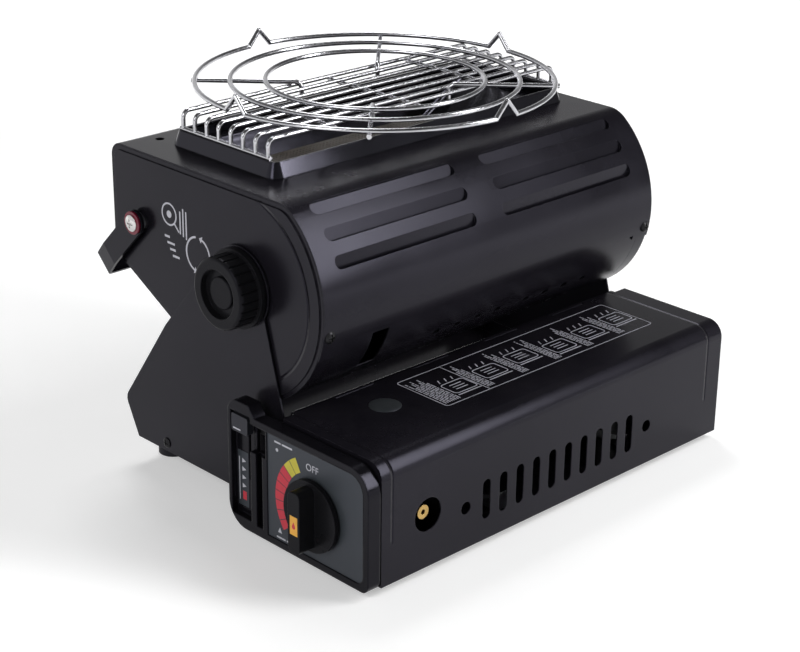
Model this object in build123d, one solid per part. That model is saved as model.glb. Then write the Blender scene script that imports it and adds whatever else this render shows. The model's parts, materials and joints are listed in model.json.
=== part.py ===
from build123d import *
import math
import os

# Tilting tabletop heater on a cartridge bench. Lengths are in millimetres.
# Working axes: x runs right from the control panel face, y runs back from the
# lid front, z runs up from the floor. The parts are written with the origin
# below the middle of the whole object, on the floor.

# ---- overall sizes ----
LENGTH = 285.0              # control panel face to the right end of the lid
DEPTH = 243.0               # lid front to the back of the hanging handle
BODY_HEIGHT = 197.0         # floor to the rim of the burner frame
CARTRIDGE_DIAMETER = 68.0   # lying gas cartridge that the bay takes
CARTRIDGE_LENGTH = 186.0    # body of the cartridge, without its neck
CARTRIDGE_NECK = 10.0       # between the inlet and the body of the cartridge

# ---- stock and clearances ----
SHEET = 0.8                 # pressed steel sheet
STAND_SHEET = 1.0           # stand plates and bay plates
MOVING_GAP = 0.3            # between pieces that move past each other
SEAM = 0.1                  # between sheets that are screwed together
RUNNING_FIT = 0.05          # radial, round shafts and pins
SCREW_RADIUS = 1.5
SCREW_HEAD_RADIUS = 3.0
SCREW_HEAD_HEIGHT = 1.4
SCREW_REACH = 4.0
FAR = 600.0                 # size of cutting shapes, past the whole object

# ---- feet and base tray ----
FOOT_HEIGHT = 4.0
FRONT_FOOT_RADIUS = 8.0
FRONT_FOOT_Y = 18.0
FRONT_FOOT_INSET = 30.0
REAR_FOOT_RADIUS = 9.0
REAR_FOOT_INSET = 19.5
TRAY_LIP_Y = 3.0
TRAY_LIP_HEIGHT = 5.0
PAN_HEIGHT = 14.0
PAN_FLANGE_HEIGHT = 9.0

# ---- cartridge bay and lid ----
CARTRIDGE_PLAY = 0.4
CARTRIDGE_Y = 40.9
LID_CORNER = 9.5
LID_FLANGE = 6.0
LID_LIFT = 0.3              # lid edge above the tray bottom
BAY_PLATE_INSET = 1.2
BAY_PLATE_REAR = 76.0
BAY_PLATE_CORNER = 9.0
BAY_FOOT_WIDTH = 8.0
HINGE_Y = 77.5
KNUCKLE_RADIUS = 2.2
HINGE_PIN_RADIUS = 1.0
HINGE_INSET = 9.0
KNUCKLE_COUNT = 9
LID_SLOT_COUNT = 10
LID_SLOT_PITCH = 13.0
LID_SLOT_WIDTH = 6.0
LID_SLOT_HEIGHT = 23.4
LID_SLOT_Z = 28.5
LID_SLOT_START = 76.8       # first slot from the lid's left end
LID_END_HOLE_RADIUS = 3.6
LID_END_HOLE_STEP = 15.65   # small round holes beyond the slot row
NIPPLE_HOLE_RADIUS = 9.5
SADDLE_THICKNESS = 8.0
SADDLE_HEIGHT = 16.0
SADDLE_HALF_WIDTH = 24.0
SADDLE_INSET = 33.0         # ends of the cartridge to the saddles
GUIDE_X = 70.0
GUIDE_HEIGHT = 56.0
GUIDE_HALF_WIDTH = 30.0
GUIDE_HOLE_RADIUS = 17.0

# ---- control bezel ----
BEZEL_THICKNESS = 8.4
BEZEL_FACE = 2.6
BEZEL_WALL = 1.8
BEZEL_BOTTOM = 3.5
BEZEL_TOP = 72.0
BEZEL_HUMP_TOP = 78.0
BEZEL_LENGTH = 110.0
BEZEL_HUMP_RUN = 22.0       # raised part of the top edge, from the rear
BEZEL_HUMP_RISE = 5.0
BEZEL_FRONT_CORNER = 14.0
BEZEL_FOOT_CORNER = 5.0
BEZEL_REAR_CORNER = 8.0
BEZEL_BORDER = 4.0
LID_END_GAP = 0.8
LABEL_REAR_GAP = 1.0        # label recess to the finger notch
LABEL_RECESS = 0.5
LABEL_THICKNESS = 0.8
TROUGH_REAR_WALL = 2.5      # rear edge of the bezel to the lever trough
TROUGH_WIDTH = 16.0
TROUGH_LINING = 1.5
TROUGH_DEPTH = 4.0
TROUGH_FLOOR = 1.6
TROUGH_BOTTOM = 10.0
TROUGH_TOP = 71.5
GRIP_SLOT_STEP = 9.5        # front of the slot to the front of the trough
GRIP_SLOT_WIDTH = 5.0
GRIP_SLOT_BOTTOM = 9.0
GRIP_SLOT_TOP = 52.0
GRIP_NOTCH_STEP = 12.5
GRIP_NOTCH_TOP = 68.0
STRIP_BOTTOM = 14.0
STRIP_TOP = 47.0
STRIP_MARGIN = 0.7          # to the lever slit and to the trough wall
STRIP_THICKNESS = 0.6
BOSS_RADIUS = 3.0
BOSS_FRONT_Y = 18.0
BOSS_LOW_Z = 16.0
BOSS_HIGH_Z = 58.0
BOSS_MIDDLE_Z = 14.0
BOSS_MIDDLE_STEP = 12.0     # middle post to the finger slot

# ---- lock lever ----
LEVER_TRAVEL = 30.0
LEVER_CAP_HEIGHT = 10.0
LEVER_CAP_WIDTH = 13.0
LEVER_CAP_PROUD = 0.5
LEVER_HEADROOM = 1.0
LEVER_PLATE = 1.5
LEVER_PLATE_FRONT = 62.0
LEVER_STEM_WIDTH = 4.0
LEVER_STEP = 2.0            # stem shorter than the cap, above and below
LEVER_CAP_CORNER = 1.0
LEVER_PIN_RADIUS = 2.5
LEVER_PIN_Y = 66.0
LEVER_PIN_REACH = 20.0

# ---- flow valve ----
VALVE_Y = 40.9
VALVE_Z = 34.0
KNOB_DISC_RADIUS = 20.0
KNOB_DISC_THICKNESS = 2.9
KNOB_FACE_GAP = 0.6
KNOB_PROUD = 14.0
KNOB_GRIP_WIDTH = 9.0
KNOB_GRIP_LENGTH = 35.0
KNOB_GRIP_CORNER = 3.0
TAG_LENGTH = 11.0
TAG_WIDTH = 6.0
TAG_THICKNESS = 0.5
TAG_OFFSET = 1.5
SPINDLE_RADIUS = 3.0
SPINDLE_END = 26.0
BARREL_RADIUS = 8.0

# ---- regulator ----
REGULATOR_LEFT = 22.0
REGULATOR_RIGHT = 60.0
REGULATOR_FRONT = 24.0
REGULATOR_REAR = 60.0
REGULATOR_BOTTOM = 14.0
REGULATOR_TOP = 54.0
REGULATOR_CORNER = 5.0
REGULATOR_CAP_RADIUS = 16.0
REGULATOR_CAP_HEIGHT = 9.0
INLET_RADIUS = 7.0
INLET_LENGTH = 9.0
INLET_BORE = 2.4
OUTLET_RADIUS = 4.5
OUTLET_LENGTH = 4.0
HOSE_X = 50.0
HOSE_Z = 30.0
NIPPLE_X = 42.2
NIPPLE_Z = 35.0
NIPPLE_RADIUS = 4.0
NIPPLE_BASE_RADIUS = 6.5
NIPPLE_BASE_LENGTH = 8.0
NIPPLE_FRONT = 3.6
NIPPLE_BORE = 1.4
IGNITER_FRONT = 8.0
IGNITER_DEPTH = 12.0
IGNITER_WIDTH = 9.0
IGNITER_BOTTOM = 14.0
IGNITER_TOP = 46.0

# ---- stand plates ----
STAND_LEFT = 14.5           # outer face of the left stand plate
RIGHT_STAND_INSET = 6.7     # lid's right end to the right stand plate
STAND_FRONT = 81.0
STAND_SHOULDER_Z = 70.0
STAND_NECK_Y = 96.0
STAND_NECK_Z = 123.0
STAND_HEAD_RADIUS = 23.0
STAND_BACK_Y = 181.0
STAND_BACK_Z = 93.0
STAND_HEEL_INSET = 6.5      # heel of the stand plate before the head's back
STAND_HEEL_Z = 36.0
STAND_TOE_STEP = 11.0
STAND_HEEL_CORNER = 7.0
STAND_FLANGE = 6.0
STAND_SCREW_INSET = 15.0    # rear screws ahead of the cross bar
CROSS_BAR_DEPTH = 12.0
CROSS_BAR_HEIGHT = 10.0
CROSS_BAR_WALL = 1.2

# ---- tilt pivot ----
TILT_Y = 115.0
HEAD_RISE = 54.0            # pivot to the flat top
PIVOT_RADIUS = 4.0
PIVOT_NUT_RADIUS = 7.0
PIVOT_NUT_LENGTH = 4.5
WASHER_RADIUS = 14.0
WASHER_THICKNESS = 0.6
TILT_RANGE = 85.0           # degrees that the head tilts forward
HEAD_GAP = 0.8              # between a stand plate and the head
TILT_KNOB_RADIUS = 20.0
TILT_KNOB_DISC_RADIUS = 22.0
TILT_KNOB_DISC = 3.0
TILT_KNOB_FACE = -1.0
TILT_KNOB_DISH_RADIUS = 13.5
TILT_KNOB_DISH_DEPTH = 4.0
TILT_KNOB_INSERT_RADIUS = 9.0
TILT_KNOB_INSERT_HEIGHT = 1.6
TILT_KNOB_LOBES = 24
TILT_KNOB_GROOVE = 0.6      # radius of the grooves between the lobes
BOLT_HEAD_RADIUS = 9.0
BOLT_HEAD_HEIGHT = 4.0

# ---- heater head ----
HEAD_RADIUS = 64.0
UNDERSIDE = math.radians(61.8)   # slope of the lower back, from level
HEAD_FRONT_CORNER = 18.0
HEAD_BACK_CORNER = 8.0
HEAD_LOW_CORNER = 6.0
HANDLE_STANDOFF = 15.0      # back of the head to the back of the handle
RIM_WIDTH = 3.5
RIM_STEP = 0.8
END_FLANGE = 8.7
SHELL_EDGE = 13.5           # degrees below level at the front
SHELL_LEFT_TAB = 23.0
SHELL_RIGHT_TAB = 16.0
SHELL_LEFT_TAB_WIDTH = 14.9
SHELL_RIGHT_TAB_WIDTH = 13.4
SHELL_OVERLAP = 3.0         # degrees that the lower shell reaches under
SHELL_SCREW_STEP = 3.5      # degrees, lower edge to the front screws
SHELL_BACK_EDGE = 10.0      # above the lower back corner
SHELL_BACK_OVERLAP = 8.0
LOUVRE_ANGLES = (24.0, 37.5, 51.3)
LOUVRE_WIDTH = 7.8
LOUVRE_DEPTH = 2.8          # at the open lower edge
LOUVRE_INSET = 12.2
LOUVRE_LENGTH = 102.5
LOUVRE_RIGHT_INSET = 15.5
LOUVRE_RIGHT_LENGTH = 107.5
VENT_ANGLES = (-35.0, -50.0)
VENT_RADIUS = 2.3
VENT_PITCH = 16.2
VENTS_PER_GROUP = 4
VENT_GROUP_STARTS = (93.2, 165.2)
WINDOW_START = 37.7
WINDOW_WIDTH = 12.0
WINDOW_TOP = -17.0
WINDOW_BOTTOM = -41.0
HOSE_SLOT_MARGIN = 3.0
HOSE_SLOT_PLAY = 1.5        # past the hose at both ends of the slot
TOP_HOLE_RADIUS = 2.6
TOP_HOLE_X = 22.4
TOP_HOLE_BACK = 16.0

# ---- burner ----
FRAME_LEFT_INSET = 20.7
FRAME_RIGHT_INSET = 11.5
FRAME_BACK_INSET = 26.5
FRAME_DEPTH = 89.0
COLLAR_HEIGHT = 8.5
COLLAR_FLARE = 3.0
COLLAR_WALL = 1.2
COLLAR_CORNER = 7.0
REFLECTOR_LIP = 6.0
REFLECTOR_SHEET = 0.6
BURNER_LENGTH = 130.0
BURNER_WIDTH = 56.0
CERAMIC_THICKNESS = 11.0
CERAMIC_PROUD = 1.0
BURNER_BOX_WALL = 1.0
BURNER_BOX_DROP = 16.0      # flat top to the edge of the burner box
BURNER_BOX_HEIGHT = 24.0
BURNER_PLAY = 0.3
REFLECTOR_GRIP = 3.0        # reflector edge below the edge of the box
MIXING_RADIUS = 7.0
MIXING_WALL = 1.0
MIXING_BEND = 12.0
MIXING_START = 122.1
MIXING_TURN = 51.5          # burner's middle to the tube's turn
MIXING_OUTLET_STEP = 12.0   # outlet ahead of the burner's middle
AIR_WINDOW_LENGTH = 12.0
AIR_WINDOW_START = 13.0
AIR_WINDOW_HEIGHT = 6.0
INJECTOR_FLANGE_RADIUS = 7.0
INJECTOR_FLANGE = 5.0
INJECTOR_PLUG = 10.0
SPIGOT_RADIUS = 2.5
COUPLING_RADIUS = 4.4
COUPLING_START = 106.0
COUPLING_LENGTH = 10.7
SPIGOT_SEAT = 2.0
ELECTRODE_INSET = 12.5
ELECTRODE_RADIUS = 2.2
ELECTRODE_BODY = 26.0
ELECTRODE_TIP_RADIUS = 0.8
ELECTRODE_TIP_RISE = 3.0
ELECTRODE_TIP_REACH = 15.0
ELECTRODE_TIP_BEND = 1.5

# ---- wire guard and pot support ----
GUARD_WIRE = 1.2
GUARD_COUNT = 8
GUARD_PITCH = 10.2
GUARD_RISE = 11.4           # rim to the top wires
GUARD_BEND = 4.0
GUARD_CROSS_STARTS = (49.4, 112.4, 175.4)
GUARD_OVERHANG = 2.0        # cross wires past the outer bars
WELD = 0.25                 # depth that crossing wires sink into each other
WELD_SWELL = 1.04           # welded ends are this much thicker than the wire
SUPPORT_WIRE = 1.4
SUPPORT_RINGS = (102.5, 82.5, 62.5)
SUPPORT_PEAK = 9.0
SUPPORT_PEAK_HALF_WIDTH = 8.0
SPOKE_OUTER = 105.0
SPOKE_INNER = 42.0
SPOKE_LEG = 8.4
SPOKE_BEND = 4.0

# ---- carrying handle ----
HANDLE_PIVOT_INSET = 25.0   # ahead of the head's back
HANDLE_PIVOT_DROP = 40.5    # below the flat top
HANDLE_WIDTH = 14.0
HANDLE_THICKNESS = 2.0
HANDLE_ARM_X = 11.9
HANDLE_HANG = math.radians(45.0)
HANDLE_SHOULDER = 14.0      # end of each arm, which turns in a little
HANDLE_TURN_IN = 2.0
HANDLE_BEND = 3.5           # outside of the bends into the grip
BUSH_RADIUS = 5.0
BUSH_SLEEVE_RADIUS = 3.2
BUSH_PROUD = 0.3
COLLAR_RING_RADIUS = 6.6
COLLAR_RING = 1.2
HANDLE_SCREW_RADIUS = 2.0
HANDLE_SCREW_HEAD_RADIUS = 4.7
HANDLE_SCREW_HEAD = 1.8
HANDLE_SCREW_REACH = 4.0

# ---- cord routes, chosen points ----
HOSE_RADIUS = 3.0
HOSE_PLANE_X = 36.0
HOSE_ENTRY_Y = 196.6        # last corner before the hose heads for the pivot
HOSE_ENTRY_Z = 96.5
HOSE_LOW_Y = 199.0
HOSE_LOW_Z = 55.0
HOSE_HOLE_MARGIN = 1.5
LEAD_RADIUS = 1.1
LEAD_START_Z = 20.0
LEAD_SIDE_DROP = 5.0        # lead ahead of the pivot axis, along the hose
LEAD_SIDE_RISE = 2.3
LEAD_HOLE_X = 24.6
LEAD_HOLE_Z = 23.8
CORD_SHARE = 0.45           # part of a run that one bend may use

# ---- places that follow from the sizes ----
LID_LEFT = BEZEL_THICKNESS + LID_END_GAP
LID_RIGHT = LENGTH
LID_MID = (LID_LEFT + LID_RIGHT) / 2
TRAY_TOP = FOOT_HEIGHT + SHEET
LID_TOP = TRAY_TOP + CARTRIDGE_DIAMETER + CARTRIDGE_PLAY + SHEET
LID_BOTTOM = FOOT_HEIGHT + LID_LIFT
HINGE_Z = LID_TOP - KNUCKLE_RADIUS
KNUCKLE_BORE = HINGE_PIN_RADIUS + RUNNING_FIT
KNUCKLE_CLEAR = KNUCKLE_RADIUS + MOVING_GAP
TRAY_LEFT = LID_LEFT + SHEET + MOVING_GAP
TRAY_RIGHT = LID_RIGHT - SHEET - MOVING_GAP
BAY_LEFT = LID_LEFT + SHEET + BAY_PLATE_INSET
BAY_RIGHT = LID_RIGHT - SHEET - BAY_PLATE_INSET
BAY_PLATE_TOP = LID_TOP - 2 * SHEET
BAY_PLATE_FRONT = TRAY_LIP_Y + SHEET + SEAM
CARTRIDGE_Z = TRAY_TOP + (CARTRIDGE_DIAMETER + CARTRIDGE_PLAY) / 2
WALL_BACK = HINGE_Y + KNUCKLE_RADIUS
WALL_FRONT = WALL_BACK - SHEET
RISER_Y = WALL_FRONT - SHEET - SEAM
PAN_TOP = PAN_HEIGHT + SHEET

STAND_RIGHT = LENGTH - RIGHT_STAND_INSET - STAND_SHEET
STAND_MID = (STAND_LEFT + STAND_RIGHT + STAND_SHEET) / 2
STAND_INNER = STAND_LEFT + STAND_SHEET
HEAD_LEFT = STAND_INNER + HEAD_GAP
HEAD_RIGHT = STAND_RIGHT - HEAD_GAP
HEAD_TOP = BODY_HEIGHT - COLLAR_HEIGHT
HEAD_REAR = DEPTH - HANDLE_STANDOFF
TILT_Z = HEAD_TOP - HEAD_RISE
HEEL_Y = HEAD_REAR - STAND_HEEL_INSET
TOE_Y = HEEL_Y - STAND_TOE_STEP
CROSS_BAR_REAR = TOE_Y
CROSS_BAR_FRONT = CROSS_BAR_REAR - CROSS_BAR_DEPTH
SHELL_LEFT = HEAD_LEFT + RIM_STEP
SHELL_RIGHT = HEAD_RIGHT - RIM_STEP
LOWER_INSET = SHEET + SEAM
LOWER_LEFT = SHELL_LEFT + END_FLANGE + SEAM
LOWER_RIGHT = SHELL_RIGHT - END_FLANGE - SEAM

FRAME_LEFT = HEAD_LEFT + FRAME_LEFT_INSET
FRAME_RIGHT = HEAD_RIGHT - FRAME_RIGHT_INSET
FRAME_LENGTH = FRAME_RIGHT - FRAME_LEFT
BURNER_X = (FRAME_LEFT + FRAME_RIGHT) / 2
BURNER_Y = HEAD_REAR - FRAME_BACK_INSET - FRAME_DEPTH / 2
RIM_LENGTH = FRAME_LENGTH - 2 * COLLAR_FLARE
RIM_DEPTH = FRAME_DEPTH - 2 * COLLAR_FLARE
RIM_CORNER = COLLAR_CORNER - COLLAR_FLARE
MOUTH_LENGTH = RIM_LENGTH - 2 * (COLLAR_WALL + REFLECTOR_LIP / 2)
MOUTH_DEPTH = RIM_DEPTH - 2 * (COLLAR_WALL + REFLECTOR_LIP / 2)
BOX_TOP = HEAD_TOP - BURNER_BOX_DROP
BOX_BOTTOM = BOX_TOP - BURNER_BOX_HEIGHT
BOX_LENGTH = BURNER_LENGTH + 2 * (BURNER_PLAY + BURNER_BOX_WALL)
BOX_WIDTH = BURNER_WIDTH + 2 * (BURNER_PLAY + BURNER_BOX_WALL)
GUARD_Z = BODY_HEIGHT + GUARD_RISE
SPOKE_Z = GUARD_Z + GUARD_WIRE + MOVING_GAP + SUPPORT_WIRE
RING_Z = SPOKE_Z + 2 * SUPPORT_WIRE - WELD
COUPLING_END = COUPLING_START + COUPLING_LENGTH
INJECTOR_START = COUPLING_END + MOVING_GAP
CARTRIDGE_LEFT = REGULATOR_RIGHT + INLET_LENGTH + CARTRIDGE_NECK
CARTRIDGE_RIGHT = CARTRIDGE_LEFT + CARTRIDGE_LENGTH

KNOB_BACK = -KNOB_FACE_GAP
KNOB_FRONT = KNOB_BACK - KNOB_DISC_THICKNESS
LABEL_FACE = LABEL_RECESS
LABEL_BACK = LABEL_FACE + LABEL_THICKNESS
BEZEL_HUMP_START = BEZEL_LENGTH - BEZEL_HUMP_RUN
TROUGH_REAR = BEZEL_LENGTH - TROUGH_REAR_WALL
TROUGH_FRONT = TROUGH_REAR - TROUGH_WIDTH
GRIP_SLOT_FRONT = TROUGH_FRONT - GRIP_SLOT_STEP
GRIP_NOTCH_FRONT = TROUGH_FRONT - GRIP_NOTCH_STEP
LABEL_REAR = GRIP_NOTCH_FRONT - LABEL_REAR_GAP
TROUGH_SKIN = TROUGH_DEPTH + TROUGH_FLOOR
LEVER_TOP = TROUGH_TOP - MOVING_GAP - LEVER_HEADROOM
LEVER_BOTTOM = LEVER_TOP - LEVER_CAP_HEIGHT
LEVER_STEM_BOTTOM = LEVER_BOTTOM + LEVER_STEP
LEVER_STEM_TOP = LEVER_TOP - LEVER_STEP
LEVER_CAP_FRONT = TROUGH_FRONT + (TROUGH_WIDTH - LEVER_CAP_WIDTH) / 2
LEVER_PLATE_LEFT = TROUGH_SKIN + MOVING_GAP
LEVER_PLATE_RIGHT = LEVER_PLATE_LEFT + LEVER_PLATE
LEVER_PIN_Z = (LEVER_BOTTOM + LEVER_TOP) / 2
VALVE_BARREL_LEFT = BAY_LEFT + STAND_SHEET + SEAM
IGNITER_LEFT = BAY_LEFT + STAND_SHEET + SEAM

HANDLE_PIVOT_Y = HEAD_REAR - HANDLE_PIVOT_INSET
HANDLE_PIVOT_Z = HEAD_TOP - HANDLE_PIVOT_DROP
HANDLE_END = HANDLE_WIDTH / 2
HANDLE_REACH = ((DEPTH - HANDLE_PIVOT_Y) - HANDLE_END * math.sin(HANDLE_HANG)) / math.cos(HANDLE_HANG)
HANDLE_ARM_INNER = HANDLE_ARM_X + HANDLE_THICKNESS
HANDLE_RIGHT = 2 * STAND_MID - HANDLE_ARM_X

# Bounds of the whole object, which set its origin.
X_MIN = -KNOB_PROUD
X_MAX = LENGTH
Y_MIN = 0.0
Y_MAX = BURNER_Y + SUPPORT_RINGS[0] + SUPPORT_WIRE
X_MID = (X_MIN + X_MAX) / 2
Y_MID = (Y_MIN + Y_MAX) / 2


# ---- helpers ----
def along_x(profile, x_from, x_to):
    """Extrude a (y, z) profile from x_from to x_to."""
    end_view = Plane(origin=(x_from, 0, 0), x_dir=(0, 1, 0), z_dir=(1, 0, 0))
    return extrude(end_view * profile, x_to - x_from, dir=(1, 0, 0))


def along_y(profile, y_from, y_to):
    """Extrude an (x, z) profile from y_from to y_to."""
    front_view = Plane(origin=(0, y_from, 0), x_dir=(1, 0, 0), z_dir=(0, -1, 0))
    return extrude(front_view * profile, y_to - y_from, dir=(0, 1, 0))


def along_z(profile, z_from, z_to):
    """Extrude an (x, y) profile from z_from to z_to."""
    return extrude(Pos(0, 0, z_from) * profile, z_to - z_from, dir=(0, 0, 1))


def block(x_from, x_to, y_from, y_to, z_from, z_to):
    """A box between two corners."""
    middle = Pos((x_from + x_to) / 2, (y_from + y_to) / 2, (z_from + z_to) / 2)
    return middle * Box(x_to - x_from, y_to - y_from, z_to - z_from)


def rod_x(x_from, x_to, y, z, radius):
    return along_x(Pos(y, z) * Circle(radius), x_from, x_to)


def rod_y(x, y_from, y_to, z, radius):
    return along_y(Pos(x, z) * Circle(radius), y_from, y_to)


def rod_z(x, y, z_from, z_to, radius):
    return along_z(Pos(x, y) * Circle(radius), z_from, z_to)


def rectangle(y_from, y_to, z_from, z_to):
    """A flat rectangle between two corners."""
    middle = Pos((y_from + y_to) / 2, (z_from + z_to) / 2)
    return middle * Rectangle(y_to - y_from, z_to - z_from)


def outline(*points):
    """A flat face inside a closed row of points."""
    return make_face(Polyline(*points, close=True))


def rounded(face, y, z, radius):
    """Round the corner of a flat face that lies nearest to (y, z)."""
    corner = face.vertices().sort_by_distance((y, z, 0))[0]
    return fillet(corner, radius)


def swept(path, radius):
    """A round wire or pipe along a path."""
    section = Plane(origin=path @ 0, z_dir=path % 0) * Circle(radius)
    return sweep(section, path=path)


def wire(points, bend, radius):
    """A bent wire through the points, with one bend radius."""
    return swept(FilletPolyline(*points, radius=bend), radius)


def joined(solids):
    """Fuse a row of solids into one."""
    solids = list(solids)
    return solids[0] + solids[1:]


def mirrored(solid, middle):
    """The same solid on the other side of the plane x = middle."""
    return mirror(solid, about=Plane.YZ.offset(middle))


def screw_at(place):
    """A dome-headed screw at a place whose z axis points out of the sheet."""
    head = Pos(0, 0, SCREW_HEAD_HEIGHT / 2) * Cylinder(SCREW_HEAD_RADIUS, SCREW_HEAD_HEIGHT)
    shank = Pos(0, 0, -SCREW_REACH / 2) * Cylinder(SCREW_RADIUS, SCREW_REACH)
    return place * (head + shank)


def screw_hole_at(place):
    return place * Cylinder(SCREW_RADIUS + RUNNING_FIT, 3 * SCREW_REACH)


def drum_place(x, degrees, radius):
    """A place on a circle about the pivot, degrees up from straight ahead."""
    angle = math.radians(degrees)
    ahead = (0, -math.cos(angle), math.sin(angle))
    origin = (x, TILT_Y + radius * ahead[1], TILT_Z + radius * ahead[2])
    return Plane(origin=origin, x_dir=(1, 0, 0), z_dir=ahead).location


def sector(degrees_from, degrees_to, radius_from, radius_to):
    """A ring sector about the pivot, in (y, z), degrees up from ahead."""
    ring = Pos(TILT_Y, TILT_Z) * (Circle(radius_to) - Circle(radius_from))
    reach = 3 * radius_to
    corners = [(TILT_Y, TILT_Z)]
    for degrees in (degrees_from, (degrees_from + degrees_to) / 2, degrees_to):
        angle = math.radians(degrees)
        corners.append((TILT_Y - reach * math.cos(angle), TILT_Z + reach * math.sin(angle)))
    return ring & outline(*corners)


# ---- feet and tray ----
def front_feet():
    left = rod_z(LID_LEFT + FRONT_FOOT_INSET, FRONT_FOOT_Y, 0, FOOT_HEIGHT, FRONT_FOOT_RADIUS)
    right = rod_z(LID_RIGHT - FRONT_FOOT_INSET, FRONT_FOOT_Y, 0, FOOT_HEIGHT, FRONT_FOOT_RADIUS)
    return [left, right]


def rear_feet():
    foot_y = (CROSS_BAR_FRONT + CROSS_BAR_REAR) / 2
    left = rod_z(STAND_INNER + REAR_FOOT_INSET, foot_y, 0, PAN_HEIGHT, REAR_FOOT_RADIUS)
    return [left, mirrored(left, STAND_MID)]


def base_tray():
    """Bay floor, riser and rear pan, bent from one sheet."""
    floor = block(TRAY_LEFT, TRAY_RIGHT, TRAY_LIP_Y, RISER_Y + SHEET, FOOT_HEIGHT, TRAY_TOP)
    lip_top = FOOT_HEIGHT + TRAY_LIP_HEIGHT
    lip = block(TRAY_LEFT, TRAY_RIGHT, TRAY_LIP_Y, TRAY_LIP_Y + SHEET, FOOT_HEIGHT, lip_top)
    riser = block(STAND_INNER + SEAM, STAND_RIGHT - SEAM, RISER_Y, RISER_Y + SHEET, FOOT_HEIGHT, PAN_TOP)
    pan_rear = CROSS_BAR_FRONT - SEAM
    pan = block(STAND_INNER + SEAM, STAND_RIGHT - SEAM, RISER_Y, pan_rear, PAN_HEIGHT, PAN_TOP)
    flange_front = STAND_FRONT + STAND_FLANGE
    flange_left = STAND_INNER + SEAM
    flange_top = PAN_TOP + PAN_FLANGE_HEIGHT
    flange = block(flange_left, flange_left + SHEET, flange_front, pan_rear, PAN_HEIGHT, flange_top)
    tray = joined([floor, lip, riser, pan, flange, mirrored(flange, STAND_MID)])
    for place in stand_screw_places():
        tray -= screw_hole_at(place)
    return tray


def stand_screw_places():
    """Two screws through each stand plate into the pan flange."""
    screw_z = PAN_TOP + PAN_FLANGE_HEIGHT / 2
    front_y = (STAND_FRONT + STAND_FLANGE + BEZEL_LENGTH) / 2
    places = []
    for screw_y in (front_y, CROSS_BAR_FRONT - STAND_SCREW_INSET):
        places.append(Plane(origin=(STAND_LEFT, screw_y, screw_z), z_dir=(-1, 0, 0)).location)
        places.append(Plane(origin=(STAND_RIGHT + STAND_SHEET, screw_y, screw_z), z_dir=(1, 0, 0)).location)
    return places


def rear_cross_bar():
    """A channel between the stand plates that carries the rear feet."""
    left = STAND_INNER + SEAM
    right = STAND_RIGHT - SEAM
    top = PAN_HEIGHT + CROSS_BAR_HEIGHT
    bar = block(left, right, CROSS_BAR_FRONT, CROSS_BAR_REAR, PAN_HEIGHT, top)
    hollow_front = CROSS_BAR_FRONT + CROSS_BAR_WALL
    hollow_rear = CROSS_BAR_REAR - CROSS_BAR_WALL
    return bar - block(left, right, hollow_front, hollow_rear, PAN_HEIGHT + CROSS_BAR_WALL, top)


# ---- cartridge bay ----
def bay_plate_profile():
    top = BAY_PLATE_TOP
    plate = rectangle(BAY_PLATE_FRONT, BAY_PLATE_REAR, TRAY_TOP + SEAM, top)
    return rounded(plate, BAY_PLATE_FRONT, top, BAY_PLATE_CORNER)


def bay_plate_foot(left, right):
    """The bay plate's turned-in foot on the tray."""
    bottom = TRAY_TOP + SEAM
    return block(left, right, TRAY_LIP_Y + 2 * SHEET, BAY_PLATE_REAR, bottom, bottom + SHEET)


def left_bay_plate():
    plate = along_x(bay_plate_profile(), BAY_LEFT, BAY_LEFT + STAND_SHEET)
    inner = BAY_LEFT + STAND_SHEET
    foot = bay_plate_foot(inner, inner + BAY_FOOT_WIDTH)
    spindle_hole = rod_x(BAY_LEFT - 1, inner + 1, VALVE_Y, VALVE_Z, SPINDLE_RADIUS + MOVING_GAP)
    slot_low = LEVER_PIN_Z - LEVER_TRAVEL - LEVER_PIN_RADIUS - MOVING_GAP
    slot_high = LEVER_PIN_Z + LEVER_PIN_RADIUS + MOVING_GAP
    slot_front = LEVER_PIN_Y - LEVER_PIN_RADIUS - MOVING_GAP
    slot_rear = LEVER_PIN_Y + LEVER_PIN_RADIUS + MOVING_GAP
    slot = block(BAY_LEFT - 1, inner + 1, slot_front, slot_rear, slot_low, slot_high)
    return plate + foot - spindle_hole - slot


def right_bay_plate():
    plate = along_x(bay_plate_profile(), BAY_RIGHT - STAND_SHEET, BAY_RIGHT)
    inner = BAY_RIGHT - STAND_SHEET
    return plate + bay_plate_foot(inner - BAY_FOOT_WIDTH, inner)


def hinge_spans(parity):
    """The x spans of every second hinge knuckle."""
    left = LID_LEFT + HINGE_INSET
    right = LID_RIGHT - HINGE_INSET
    pitch = (right - left) / KNUCKLE_COUNT
    half_gap = MOVING_GAP / 2
    return [
        (left + index * pitch + half_gap, left + (index + 1) * pitch - half_gap)
        for index in range(parity, KNUCKLE_COUNT, 2)
    ]


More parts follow.
